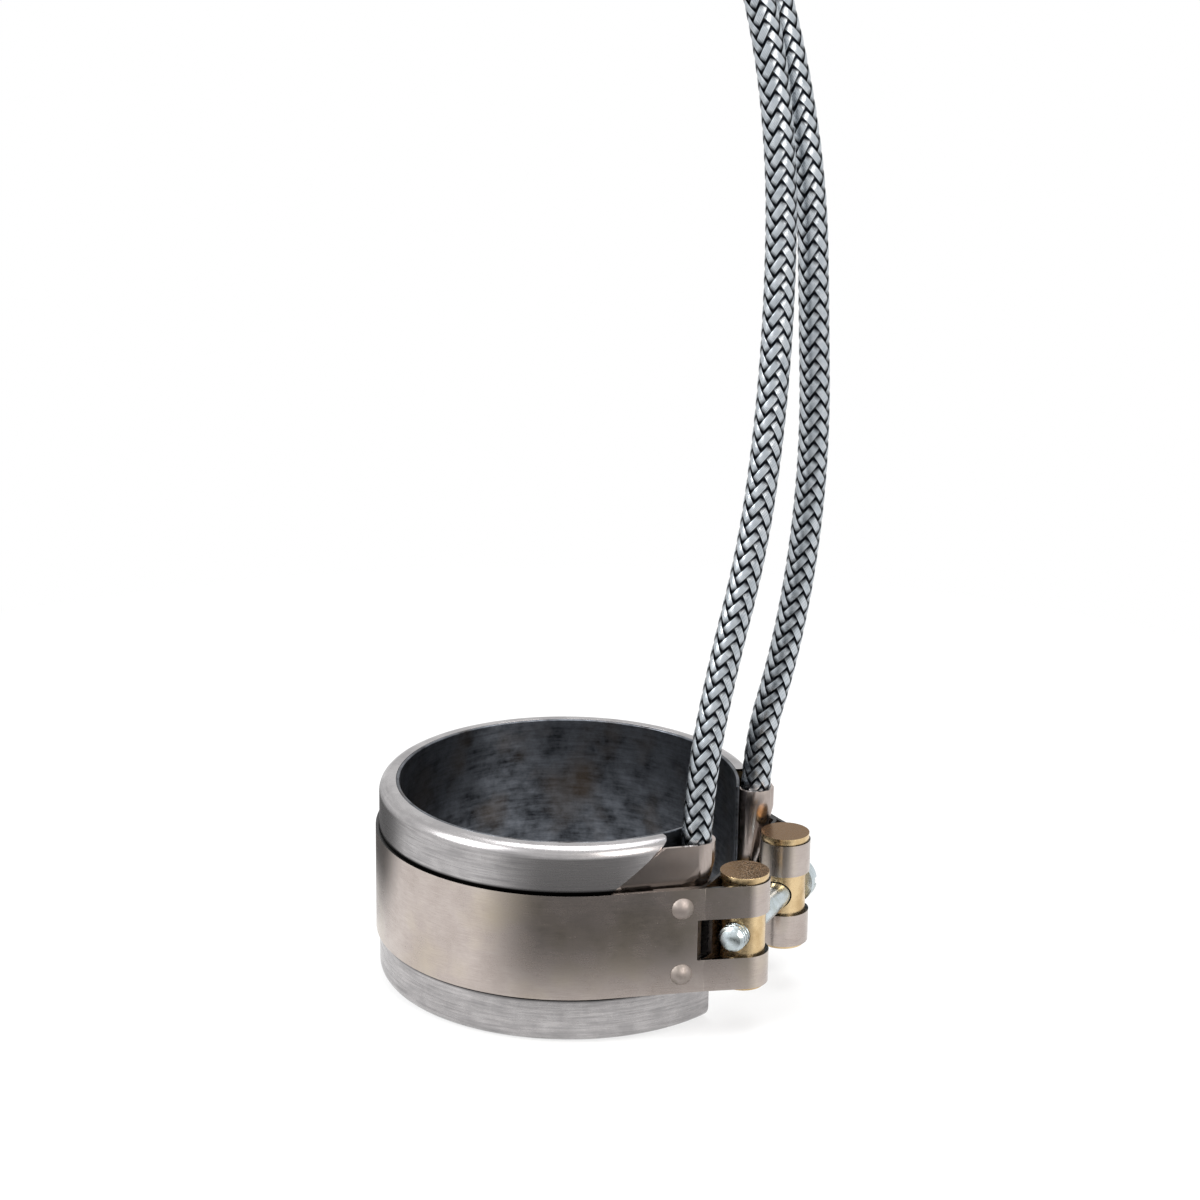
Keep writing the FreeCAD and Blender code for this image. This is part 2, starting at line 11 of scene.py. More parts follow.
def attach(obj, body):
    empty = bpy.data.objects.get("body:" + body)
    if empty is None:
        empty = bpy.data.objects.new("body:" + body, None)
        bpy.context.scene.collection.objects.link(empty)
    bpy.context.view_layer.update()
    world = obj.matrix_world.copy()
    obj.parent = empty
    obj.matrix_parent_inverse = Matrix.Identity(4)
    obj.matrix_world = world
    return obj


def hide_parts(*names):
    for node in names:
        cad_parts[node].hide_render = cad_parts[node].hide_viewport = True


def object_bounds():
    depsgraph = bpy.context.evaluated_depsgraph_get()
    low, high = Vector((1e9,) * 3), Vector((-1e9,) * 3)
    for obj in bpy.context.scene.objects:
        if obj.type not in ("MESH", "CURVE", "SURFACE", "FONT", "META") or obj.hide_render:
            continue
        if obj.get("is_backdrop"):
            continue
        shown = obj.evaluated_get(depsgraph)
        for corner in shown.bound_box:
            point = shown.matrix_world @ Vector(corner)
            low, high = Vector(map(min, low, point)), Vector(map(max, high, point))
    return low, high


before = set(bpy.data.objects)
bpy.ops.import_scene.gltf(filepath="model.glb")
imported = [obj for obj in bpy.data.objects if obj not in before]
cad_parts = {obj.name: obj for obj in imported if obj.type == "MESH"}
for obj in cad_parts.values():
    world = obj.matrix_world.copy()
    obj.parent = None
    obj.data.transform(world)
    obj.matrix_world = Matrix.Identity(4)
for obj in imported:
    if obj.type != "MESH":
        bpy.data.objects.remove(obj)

bl_info = {"name": "Nozzle Band Heater", "version": (1, 0, 0), "blender": (4, 5, 0),
    "location": "3D View > Sidebar > Band Heater",
    "description": "Models and finishes a clamp-on band heater with two braided leads",
    "category": "Object",
}

MM = 0.001
ORIGIN = Vector((0, 0, 0))
UP = Vector((0, 0, 1))
SIDES = {"front": -1, "rear": 1}
CUT_OVER = 2 * MM               # how far cutters reach past what they cut
WINDOW_LEAD = 0.7 * MM          # window of the strap before its crease
WINDOW_PAST_CREASE = 2.8 * MM   # and past the crease, toward the gap
WINDOW_SCREW_CLEAR = 0.4 * MM   # window in the loop to the screw
HEAD_CLEAR = 0.6 * MM           # room in the strap and the pin round the screw's head
NUT_SLACK, PIN_SLACK = 0.08 * MM, 0.3 * MM      # screw in the tapped and in the plain pin
SLOT_WIDTH, SLOT_DEPTH = 1.2 * MM, 1.1 * MM     # of the screw's head
TIP_BEVEL = 0.5 * MM
SEAT_GAP = 0.03 * MM            # screw's head over its flat
THREAD_PAST_NUT = 2 * MM        # thread's end inside the front pin, past its axis
THREAD_DEPTH = 0.61             # share of the pitch
HOOD_LAP = math.radians(6)      # hood's skirt under the sheath, beyond the cut
BUSH_CLEAR = 0.1 * MM           # hood to the terminal bush


def linear(colour):
    """Turns an sRGB hex colour into linear RGBA."""
    channels = [int(colour[i:i + 2], 16) / 255 for i in (1, 3, 5)]
    return tuple(c / 12.92 if c <= 0.04045 else ((c + 0.055) / 1.055) ** 2.4
                 for c in channels) + (1,)


# ---------------------------------------------------------------- sizes and colours

def length(name, default, description):
    return bpy.props.FloatProperty(name=name, default=default * MM, min=0, unit="LENGTH",
                                   precision=5, description=description)


def angle(name, default, description):
    return bpy.props.FloatProperty(name=name, default=math.radians(default), subtype="ANGLE",
                                   description=description)


def colour(name, default, description):
    return bpy.props.FloatVectorProperty(name=name, default=linear(default)[:3], size=3, min=0,
                                         max=1, subtype="COLOR", description=description)


class HeaterRingSizes(bpy.types.PropertyGroup):
    """Sizes of the rolled ring and its lead entry."""
    bore: length("Bore", 50, "Diameter of the nozzle that the band closes on")
    width: length("Width", 30, "Width along the bore")
    wall: length("Wall", 3, "From the bore to the outside of the sheath")
    sheet: length("Sheet", 0.5, "Thickness of the sheath strip")
    rim_radius: length("Rim radius", 1.7, "Outside radius of the rolled rims")
    fit: length("Fit", 0.05, "Gap between nested strips")
    end_angle: angle("Ring end", 17.8, "Where each end of the ring stops, from the gap's middle")
    notch_top: angle("Notch top", 34, "Where the rim is cut away over the lead")
    notch_low: angle("Notch foot", 53, "Where the slanting cut meets the strap")
    notch_floor: length("Notch floor", 2, "Height of the cut's lower edge over mid-width")


class HeaterClampSizes(bpy.types.PropertyGroup):
    """Sizes of the strap, the cross pins and the screw."""
    strap: length("Strap thickness", 0.5, "Thickness of the clamp strap")
    height: length("Strap height", 16, "Width of the strap along the bore")
    bend_out: length("Crease out", 0.1, "Crease outside the ring's outer radius")
    bend_side: length("Crease side", 14.6, "Crease to the gap's middle plane")
    crease: length("Crease radius", 1.2, "Radius of the crease on the strap's middle line")
    tail: length("Tail", 7.5, "Folded-back tail of the strap")
    tail_gap: length("Tail gap", 0.02, "Strap to its tail")
    window: length("Window", 6.2, "Height of the windows for the screw")
    pin: length("Pin", 6.4, "Diameter of the cross pins")
    pin_out: length("Pin out", 3.6, "Pin's axis outside the ring's outer radius")
    pin_side: length("Pin side", 8.2, "Pin's axis to the gap's middle plane")
    pin_stickout: length("Pin foot", 0.5, "Pin below the strap")
    disc: length("Disc", 7.1, "Diameter of the pin's head")
    disc_height: length("Disc height", 1, "Thickness of the pin's head")
    screw: length("Screw", 4, "Outside diameter of the screw's thread")
    pitch: length("Pitch", 0.7, "Pitch of the screw's thread")
    head: length("Screw head", 7, "Diameter of the cheese head")
    head_height: length("Head height", 2.4, "Height of the cheese head")
    head_flat: length("Head flat", 0.5, "Depth of the flat on the rear pin under the head")
    protrusion: length("Tip", 1.9, "Screw's tip beyond the nut")
    rivet_head: length("Rivet head", 3.3, "Diameter of the domed rivet heads")
    rivet_height: length("Rivet height", 0.8, "Height of the domed rivet heads")
    rivet_spacing: length("Rivet spacing", 10.2, "Between the two rivets of a tail")
    rivet_from_crease: length("Rivet to crease", 3.3, "Rivets before the crease")


class HeaterLeadSizes(bpy.types.PropertyGroup):
    """Sizes of the leads, their braid and their hoods."""
    diameter: length("Lead", 4.4, "Diameter over the braid")
    angle: angle("Lead angle", 24.8, "Place of each lead round the ring")
    to_liner: length("Lead to liner", 0.15, "Braid to the bore liner")
    hood: length("Hood sheet", 0.5, "Thickness of the hood")
    hood_clear: length("Hood clearance", 0.15, "Braid to the hood")
    hood_drop: length("Hood drop", 1, "Hood's mouth below the rim")
    mouth: length("Mouth", 3, "Straight part of the hood")
    braid_lift: length("Braid lift", 0.2, "Braid's lower end above the funnel")
    bush: length("Bush", 2.4, "Diameter of the terminal bush that the hood closes on")
    lay: length("Lay", 19.6, "Length in which a carrier goes once round")
    ribbon: length("Ribbon", 0.98, "Width of one carrier's flat bundle of wires")
    ferrule: length("Ferrule", 5.2, "Diameter of the end ferrule")
    ferrule_length: length("Ferrule length", 6, "Length of the end ferrule")
    wire: length("Wire", 2.6, "Diameter of the sleeved wire")
    wire_length: length("Wire length", 19, "Sleeved wire beyond the braid")
    conductor: length("Conductor", 1.2, "Diameter of the bare strands")
    conductor_length: length("Conductor length", 7, "Bare strands beyond the sleeve")


class HeaterFinishes(bpy.types.PropertyGroup):
    """Main colours of the finishes."""
    sheath: colour("Sheath", "#bdbaba", "Annealed stainless strip")
    liner: colour("Liner", "#6f737a", "Heat-tinted bore liner")
    strap: colour("Strap", "#c6bdb7", "Satin stainless strap")
    hood: colour("Hood", "#bdb2ac", "Pressed stainless hood")
    yellow_zinc: colour("Yellow zinc", "#d9c096", "Yellow-passivated zinc on the pins")
    clear_zinc: colour("Clear zinc", "#c3cdd2", "Blue-passivated zinc on the screw")
    braid: colour("Braid", "#f4f7fa", "Bright steel wire")
    sleeving: colour("Sleeving", "#ece7da", "Varnished glass-fibre sleeving")


def sizes():
    scene = bpy.context.scene
    return scene.heater_ring, scene.heater_clamp, scene.heater_leads


# Route of each lead from its start inside the hood to the end of its braid
ROUTES = {"front": [(0.0002, 0.0004, 0.0108), (0.0019, 0.0033, 0.0268), (0.0049, 0.0067, 0.0448),
        (0.0061, 0.0091, 0.0628), (0.0063, 0.0108, 0.0808), (0.0059, 0.0112, 0.0988),
        (0.0036, 0.0106, 0.1168), (-0.0008, 0.0082, 0.1338), (-0.0093, 0.0042, 0.1493),
        (-0.0218, -0.0008, 0.1603), (-0.0373, -0.0058, 0.1643), (-0.0523, -0.0108, 0.1593),
        (-0.0633, -0.0153, 0.1488),
    ],
    "rear": [(0.0003, -0.0002, 0.0098), (0.0039, -0.0002, 0.0233), (0.0067, -0.0006, 0.0398),
        (0.0083, -0.0019, 0.0578), (0.0082, -0.0037, 0.0758), (0.0076, -0.0045, 0.0938),
        (0.0046, -0.0058, 0.1123), (0.0003, -0.0082, 0.1288), (-0.0083, -0.0122, 0.1448),
        (-0.0208, -0.0167, 0.1573), (-0.0358, -0.0212, 0.1633), (-0.0513, -0.0252, 0.1613),
        (-0.0638, -0.0277, 0.1533),
    ],
}


# ---------------------------------------------------------------- modelling helpers

def polar(radius, turn, z=0.0):
    return Vector((radius * math.cos(turn), radius * math.sin(turn), z))


def heading(v):
    return math.atan2(v.y, v.x)


def begin(name, add, **settings):
    """Adds a primitive with nothing else selected, names it and opens it in edit mode."""
    bpy.ops.object.select_all(action="DESELECT")
    add(**settings)
    piece = bpy.context.object
    piece.name = piece.data.name = name
    bpy.ops.object.transform_apply(location=True, rotation=True, scale=True)
    bpy.ops.object.mode_set(mode="EDIT")
    return piece


def pick(piece, kind, test):
    """Selects the vertices, edges or faces all of whose corners pass the test."""
    bpy.ops.mesh.select_mode(type=kind)
    bpy.ops.mesh.select_all(action="DESELECT")
    mesh = bmesh.from_edit_mesh(piece.data)
    for item in {"VERT": mesh.verts, "EDGE": mesh.edges, "FACE": mesh.faces}[kind]:
        corners = [item.co] if kind == "VERT" else [v.co for v in item.verts]
        if all(test(p) for p in corners):
            item.select_set(True)
    bmesh.update_edit_mesh(piece.data)


def close_edit():
    bpy.ops.object.mode_set(mode="OBJECT")


def activate(piece):
    bpy.ops.object.select_all(action="DESELECT")
    piece.select_set(True)
    bpy.context.view_layer.objects.active = piece


def modify(piece, kind, **settings):
    """Adds a modifier and applies it."""
    activate(piece)
    modifier = piece.modifiers.new(kind.title(), kind)
    for key, value in settings.items():
        setattr(modifier, key, value)
    bpy.ops.object.modifier_apply(modifier=modifier.name)


def cut(piece, cutter, operation="DIFFERENCE"):
    """Cuts a piece with another, which is then thrown away."""
    modify(piece, "BOOLEAN", operation=operation, object=cutter, solver="EXACT")
    bpy.data.objects.remove(cutter)


def smooth(piece, bevel=0.0, segments=2, sharp=30):
    """Breaks the sharp edges and shades what is curved smoothly."""
    if bevel:
        modify(piece, "BEVEL", width=bevel, segments=segments, limit_method="ANGLE",
               angle_limit=math.radians(sharp), use_clamp_overlap=True, miter_outer="MITER_ARC")
    activate(piece)
    bpy.ops.object.shade_smooth_by_angle(angle=math.radians(sharp))
    modify(piece, "WEIGHTED_NORMAL", keep_sharp=True)


def outward(piece, centre=ORIGIN):
    """Turns the faces of an open sheet away from a point."""
    bpy.ops.mesh.select_all(action="SELECT")
    bpy.ops.mesh.normals_make_consistent(inside=False)
    mesh = bmesh.from_edit_mesh(piece.data)
    lean = sum((f.calc_center_median() - centre).dot(f.normal) * f.calc_area() for f in mesh.faces)
    if lean < 0:
        bpy.ops.mesh.flip_normals()


def twin(piece, name, matrix):
    """A copy with its own mesh, moved by a matrix."""
    copy = piece.copy()
    copy.data = piece.data.copy()
    copy.name = copy.data.name = name
    bpy.context.collection.objects.link(copy)
    copy.data.transform(matrix)
    if matrix.determinant() < 0:
        copy.data.flip_normals()
    return copy


def rear_copy(piece, name):
    return twin(piece, name, Matrix.Scale(-1, 4, (0, 1, 0)))


def dress(piece, material, slot, body, *nodes):
    """Gives a finished piece its material and its body, and hides the CAD nodes it stands for; slot
    is not used.
    """
    piece.data.materials.clear()
    piece.data.materials.append(material)
    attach(piece, body)
    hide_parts(*nodes)


def point_sheet(name, at):
    """A single vertex to draw a profile from."""
    piece = begin(name, bpy.ops.mesh.primitive_plane_add, size=MM)
    bpy.ops.mesh.select_mode(type="VERT")
    bpy.ops.mesh.select_all(action="SELECT")
    bpy.ops.mesh.merge(type="CENTER")
    bpy.ops.transform.translate(value=at)
    return piece


def lathe(name, profile, steps=64):
    """Turns a profile of radius and height, from the axis and back to it, into a solid."""
    piece = point_sheet(name, (profile[0][0], 0, profile[0][1]))
    for (r0, z0), (r1, z1) in zip(profile, profile[1:]):
        push((r1 - r0, 0, z1 - z0))
    bpy.ops.mesh.select_all(action="SELECT")
    bpy.ops.mesh.spin(steps=steps, angle=2 * math.pi, center=(0, 0, 0), axis=(0, 0, 1))
    bpy.ops.mesh.select_all(action="SELECT")
    bpy.ops.mesh.remove_doubles(threshold=0.002 * MM)
    bpy.ops.mesh.normals_make_consistent(inside=False)
    close_edit()
    return piece


def push(step):
    bpy.ops.mesh.extrude_region_move(TRANSFORM_OT_translate={"value": tuple(step)})


def swing(centre, turn, steps):
    """Turns the last point or edge of a profile about an upright axis, anticlockwise."""
    bpy.ops.mesh.spin(steps=steps, angle=-turn, center=tuple(centre), axis=(0, 0, 1))


# ---------------------------------------------------------------- material helpers

def add(tree, kind, inputs=None, **settings):
    """Adds a node with its settings, and links or sets its inputs."""
    made = tree.nodes.new("ShaderNode" + kind)
    for key, value in settings.items():
        setattr(made, key, value)
    for key, value in (inputs or {}).items():
        if isinstance(value, bpy.types.NodeSocket):
            tree.links.new(value, made.inputs[key])
        else:
            made.inputs[key].default_value = value
    return made


def new_material(name, **values):
    """A node material with only its shader, set to the values, and its Object coordinates."""
    material = bpy.data.materials.new(name)
    material.use_nodes = True
    tree = material.node_tree
    tree.nodes.clear()
    shader = add(tree, "BsdfPrincipled", {key.replace("_", " "): v for key, v in values.items()})
    show(tree, shader)
    place = add(tree, "TexCoord").outputs["Object"]
    return material, tree, shader, place


def show(tree, shader):
    """Makes a shader the one that the material shows."""
    outputs = [n for n in tree.nodes if n.type == "OUTPUT_MATERIAL"]
    output = outputs[0] if outputs else add(tree, "OutputMaterial")
    tree.links.new(shader.outputs[0], output.inputs[0])


def finish(tree, shader, hue, rough=None, height=None, strength=0.3, depth=0.05 * MM):
    """Links a material's colour, its roughness and its relief to its shader."""
    tree.links.new(hue, shader.inputs["Base Color"])
    if rough:
        tree.links.new(rough, shader.inputs["Roughness"])
    if height:
        bump = add(tree, "Bump", {"Height": height, "Strength": strength, "Distance": depth})
        tree.links.new(bump.outputs[0], shader.inputs["Normal"])


def upright(tree, low, high):
    """How far a face points up or down, from 0 at low to 1 at high."""
    normal = add(tree, "TexCoord").outputs["Normal"]
    parts = add(tree, "SeparateXYZ", {"Vector": normal})
    steep = add(tree, "Math", {0: parts.outputs[2]}, operation="ABSOLUTE")
    return add(tree, "MapRange",
               {"Value": steep.outputs[0], "From Min": low, "From Max": high}).outputs[0]


def chosen(finish_name):
    """The main colour of a finish, as set in the panel."""
    return tuple(getattr(bpy.context.scene.heater_finishes, finish_name)) + (1,)


def per_mm(size):
    """Scale of a pattern whose features are that many millimetres apart."""
    return 1 / (size * MM)


def strip_steel(name, base, dark, roughness, mottle, streak, stretch, spread=0.14, share=0.45,
                relief=0.25, tint=None, strap_shadow_band=0.0, painted_edge_shade=False):
    """Rolled strip: mottled by heat, with fine rolling lines along the strip; it can carry a
    painted shadow band beside the strap and painted shade on its cut edges.
    """
    material, tree, shader, place = new_material(name, Metallic=1)
    clouds = add(tree, "TexNoise",
                 {"Vector": place, "Scale": per_mm(mottle), "Detail": 6, "Roughness": 0.65})
    lines_at = add(tree, "Mapping", {"Vector": place, "Scale": stretch})
    lines = add(tree, "TexNoise",
                {"Vector": lines_at.outputs[0], "Scale": per_mm(streak), "Detail": 4,
                 "Roughness": 0.6})
    both = add(tree, "Mix", {0: share, 2: clouds.outputs[0], 3: lines.outputs[0]})
    level = add(tree, "MapRange",
                {"Value": both.outputs[0], "From Min": 0.5 - spread, "From Max": 0.5 + spread})
    steel = add(tree, "Mix", {0: level.outputs[0], 6: linear(dark), 7: base},
                data_type="RGBA").outputs[2]
    if tint:
        patches = add(tree, "TexNoise", {"Vector": place, "Scale": per_mm(9), "Detail": 3})
        where = add(tree, "MapRange",
                    {"Value": patches.outputs[0], "From Min": 0.5, "From Max": 0.75, "To Max": 0.5})
        steel = add(tree, "Mix", {0: where.outputs[0], 6: steel, 7: linear(tint)},
                    data_type="RGBA").outputs[2]
    # painted shadow: a near-black band on the sheath just past the strap's edges, fading out over
    # 0.4 mm
    if strap_shadow_band:
        parts = add(tree, "SeparateXYZ", {"Vector": place})
        level = add(tree, "Math", {0: parts.outputs[2]}, operation="ABSOLUTE")
        outside_strap_shadow = add(tree, "MapRange",
                    {"Value": level.outputs[0], "From Min": strap_shadow_band, "From Max": strap_shadow_band + 0.4 * MM})
        steel = add(tree, "Mix", {0: outside_strap_shadow.outputs[0], 6: linear("#0b0a0a"), 7: steel},
                    data_type="RGBA").outputs[2]
    # painted shade: faces pointing up or down, which on the strap are its cut edges, turn
    # near-black for the shadow gap along them
    if painted_edge_shade:
        steel = add(tree, "Mix", {0: upright(tree, 0.6, 0.9), 6: steel, 7: linear("#0f0d0c")},
                    data_type="RGBA").outputs[2]
    rough = add(tree, "MapRange", {"Value": both.outputs[0], "From Min": 0.3, "From Max": 0.7,
                 "To Min": roughness + 0.1, "To Max": roughness - 0.06})
    finish(tree, shader, steel, rough.outputs[0], both.outputs[0], relief)
    return material


def sheath_steel():
    """Annealed stainless strip, rolled and drum-polished: mottled grey with lines round it, and a
    painted shadow band along the strap's edges.
    """
    base = chosen("sheath")
    strap_edge = bpy.context.scene.heater_clamp.height / 2
    # the painted shadow band reaches 0.35 mm past the strap's edge
    return strip_steel("annealed_sheath_steel", base, "#838182", 0.26, 3.2, 1.6, (0.25, 0.25, 5),
                       spread=0.2, share=0.6, relief=0.18, strap_shadow_band=strap_edge + 0.35 * MM)


def liner_steel():
    """The same strip inside the bore, tinted blue and black by heat and handling."""
    base = chosen("liner")
    return strip_steel("heat_tinted_liner_steel", base, "#1b1d21", 0.34, 3.6, 1.8, (0.4, 0.4, 3),
                       share=0.35, tint="#57493a")


def strap_steel():
    """Bright-annealed spring strip with a satin, faintly cloudy face, and painted shade on its cut
    edges.
    """
    base = chosen("strap")
    return strip_steel("satin_strap_steel", base, "#a1958f", 0.22, 4.5, 0.7, (0.3, 0.3, 6),
                       spread=0.25, share=0.4, relief=0.08, tint="#b3a78e", painted_edge_shade=True)


def hood_steel():
    """Stainless sheet pressed over a former: smooth, satin and a little warm."""
    base = chosen("hood")
    return strip_steel("pressed_hood_steel", base, "#948983", 0.2, 4, 0.8, (4, 4, 0.3),
                       spread=0.35, relief=0.05, tint="#8a7566")


def coated(name, base, second, roughness, patch, share, ends=None):
    """Turned or plated metal whose film's colour drifts from place to place."""
    material, tree, shader, place = new_material(name, Metallic=1)
    drift = add(tree, "TexNoise", {"Vector": place, "Scale": per_mm(patch), "Detail": 4})
    level = add(tree, "MapRange",
                {"Value": drift.outputs[0], "From Min": 0.4, "From Max": 0.65, "To Max": share})
    film = add(tree, "Mix", {0: level.outputs[0], 6: base, 7: linear(second)}, data_type="RGBA")
    hue = film.outputs[2]
    if ends:
        hue = add(tree, "Mix", {0: upright(tree, 0.93, 0.98), 6: hue, 7: linear(ends)},
                  data_type="RGBA").outputs[2]
    grain = add(tree, "TexNoise", {"Vector": place, "Scale": per_mm(0.35), "Detail": 5})
    rough = add(tree, "MapRange", {"Value": grain.outputs[0], "From Min": 0.3, "From Max": 0.7,
                 "To Min": roughness - 0.08, "To Max": roughness + 0.12})
    finish(tree, shader, hue, rough.outputs[0], grain.outputs[0], 0.3, 0.03 * MM)
    return material


def yellow_zinc():
    """Yellow-chromated zinc on turned steel: straw to brown gold, faintly green in places."""
    base = chosen("yellow_zinc")
    return coated("yellow_passivated_zinc", base, "#b0946a", 0.24, 2.2, 0.7, "#6e4f27")


def clear_zinc():
    """Blue-passivated zinc on cold-formed steel: bright, cool and slightly cloudy."""
    base = chosen("clear_zinc")
    return coated("clear_passivated_zinc", base, "#a9b2b0", 0.26, 1.5, 0.8)


def rivet_steel():
    """Stainless rivets, headed cold: smooth satin domes."""
    return coated("satin_rivet_steel", linear("#9a918c"), "#878079", 0.5, 1.2, 0.8)


def nickel():
    """Nickel-plated copper: soft warm white metal."""
    return coated("plated_nickel", linear("#c4bda9"), "#a39c8b", 0.3, 1.5, 0.8)


def resistance_alloy():
    """Oxidised nickel-chrome ribbon: dull dark grey."""
    return coated("oxidised_resistance_ribbon", linear("#6f6a66"), "#3e3c3d", 0.45, 1.5, 0.9)


def mica():
    """Mica board: pale brown flakes pressed with a binder, silky and layered."""
    material, tree, shader, place = new_material("pressed_mica_board", Roughness=0.55, IOR=1.58)
    flakes = add(tree, "TexVoronoi", {"Vector": place, "Scale": per_mm(1.4)})
    shade = add(tree, "SeparateColor", {"Color": flakes.outputs["Color"]})
    hue = add(tree, "Mix",
              {0: shade.outputs[0], 6: linear("#b9a57c"), 7: linear("#94805a")}, data_type="RGBA")
    finish(tree, shader, hue.outputs[2], None, flakes.outputs["Distance"], 0.2)
    return material


def steatite():
    """Unglazed steatite: dense off-white ceramic with a fine matt grain."""
    material, tree, shader, place = new_material("unglazed_steatite", Roughness=0.6)
    grain = add(tree, "TexNoise", {"Vector": place, "Scale": per_mm(0.4), "Detail": 5})
    hue = add(tree, "Mix",
              {0: grain.outputs[0], 6: linear("#d9d1bf"), 7: linear("#ece7da")}, data_type="RGBA")
    finish(tree, shader, hue.outputs[2], None, grain.outputs[0], 0.25)
    return material


def braid_steel():
    """Bright steel wires laid side by side in flat bundles, drawn as coarse as they show, with
    painted shade in the grooves between wires and where each bundle dips under the others.
    """
    material, tree, shader, place = new_material("braided_steel_wire", Metallic=1)
    uv = add(tree, "SeparateXYZ", {"Vector": add(tree, "UVMap", uv_map="UVMap").outputs[0]})
    across = uv.outputs[0]
    cycle = add(tree, "Math", {0: uv.outputs[1], 1: 2 * math.pi}, operation="MULTIPLY")
    height = add(tree, "Math", {0: cycle.outputs[0]}, operation="COSINE")
    lift = add(tree, "MapRange", {"Value": height.outputs[0], "From Min": 0.0, "From Max": 0.65})
    turns = add(tree, "Math", {0: across, 1: WIRES * 2 * math.pi}, operation="MULTIPLY")
    wave = add(tree, "Math", {0: turns.outputs[0]}, operation="COSINE")
    crown = add(tree, "MapRange", {"Value": wave.outputs[0], "From Min": 1, "From Max": -0.6})
    drift = add(tree, "TexNoise", {"Vector": place, "Scale": per_mm(1.3), "Detail": 3})
    bright = add(tree, "Mix", {0: drift.outputs[0], 6: linear("#aab3bb"),
                  7: chosen("braid")}, data_type="RGBA")
    # painted shade: each wire darker toward its sides, in the grooves between wires
    wire = add(tree, "Mix",
               {0: crown.outputs[0], 6: linear("#858e96"), 7: bright.outputs[2]}, data_type="RGBA")
    # painted shade: near-black where each bundle dips under the bundles crossing it
    dip_shade = add(tree, "Mix",
               {0: lift.outputs[0], 6: linear("#0b0e13"), 7: wire.outputs[2]}, data_type="RGBA")
    rough = add(tree, "MapRange", {"Value": drift.outputs[0], "From Min": 0.3, "From Max": 0.7,
                 "To Min": 0.16, "To Max": 0.3})
    finish(tree, shader, dip_shade.outputs[2], rough.outputs[0], crown.outputs[0], 0.4, 0.03 * MM)
    return material


def lead_core():
    """Core under the braid, near-black as painted shade that shows between the bundles."""
    material, tree, shader, place = new_material("varnished_core_yarn", Roughness=0.7)
    core_shade = add(tree, "TexNoise", {"Vector": place, "Scale": per_mm(0.5), "Detail": 3})
    hue = add(tree, "Mix",
              {0: core_shade.outputs[0], 6: linear("#050608"), 7: linear("#15171b")}, data_type="RGBA")
    finish(tree, shader, hue.outputs[2])
    return material


def glass_sleeving():
    """Varnished braided glass sleeving: off-white, silky, with its own fine crossing weave."""
    material, tree, shader, place = new_material("braided_glass_sleeving", Roughness=0.5,
                                                  Sheen_Weight=0.2)
    uv = add(tree, "UVMap", uv_map="UVMap").outputs[0]
    ways = []
    for slant in (1, -1):
        turned = add(tree, "Mapping", {"Vector": uv, "Scale": (16, 16 * slant, 1)})
        parts = add(tree, "SeparateXYZ", {"Vector": turned.outputs[0]})
        line = add(tree, "Math", {0: parts.outputs[0], 1: parts.outputs[1]}, operation="ADD")
        turns = add(tree, "Math", {0: line.outputs[0], 1: 2 * math.pi}, operation="MULTIPLY")
        ways.append(add(tree, "Math", {0: turns.outputs[0]}, operation="SINE").outputs[0])
    weave = add(tree, "Math", {0: ways[0], 1: ways[1]}, operation="MULTIPLY")
    level = add(tree, "MapRange", {"Value": weave.outputs[0], "From Min": -1, "From Max": 1})
    hue = add(tree, "Mix", {0: level.outputs[0], 6: linear("#cfc8b6"),
               7: chosen("sleeving")}, data_type="RGBA")
    finish(tree, shader, hue.outputs[2], None, level.outputs[0], 0.5, 0.1 * MM)
    return material


# ---------------------------------------------------------------- ring

def ring_radii():
    ring = sizes()[0]
    inner = ring.bore / 2
    return inner, inner + ring.sheet, inner + ring.wall


def open_gap(piece):
    """Cuts a full ring open between its two ends, at the side of the clamp."""
    ring = sizes()[0]
    for side in (-1, 1):
        pick(piece, "FACE", lambda p: p.x > 0 and side * p.y > -MM and abs(p.y) < 1.7 * p.x)
        toward_gap = polar(-side, side * ring.end_angle + math.pi / 2)
        bpy.ops.mesh.bisect(plane_co=(0, 0, 0), plane_no=tuple(toward_gap), clear_outer=True)


def notch_block(clear=0.0):
    """Block in the shape of the opening over the front lead, with its slanting side."""
    ring = sizes()[0]
    inner, liner, outer = ring_radii()
    half, strap_half = ring.width / 2, sizes()[1].height / 2
    middle = (ring.end_angle + ring.notch_low) / 2
    out = polar(1, -middle)
    along = Vector((out.y, -out.x, 0))
    near = inner * math.cos(ring.notch_low - middle)

    def at(turn, z):
        return out * near + along * outer * math.sin(turn - middle) + UP * z

    top = at(ring.notch_top, half) - along * clear
    low = at(ring.notch_low, strap_half) - along * clear
    floor = ring.notch_floor + clear
    span = (low - at(0, 0)).dot(along)
    depth, height = outer + CUT_OVER - near, half + CUT_OVER - floor
    centre = out * (near + depth / 2) + along * (at(0, 0).dot(along) + span / 2)
    centre.z = floor + height / 2
    block = begin("notch", bpy.ops.mesh.primitive_cube_add, size=1, location=centre,
                  rotation=(0, 0, -middle), scale=(depth, span, height))
    bpy.ops.mesh.select_all(action="SELECT")
    slant = (low - top).normalized()
    bpy.ops.mesh.bisect(plane_co=tuple(low), plane_no=tuple(slant.cross(out)),
                        clear_outer=slant.cross(out).dot(along) > 0,
                        clear_inner=slant.cross(out).dot(along) < 0, use_fill=True)
    close_edit()
    return block


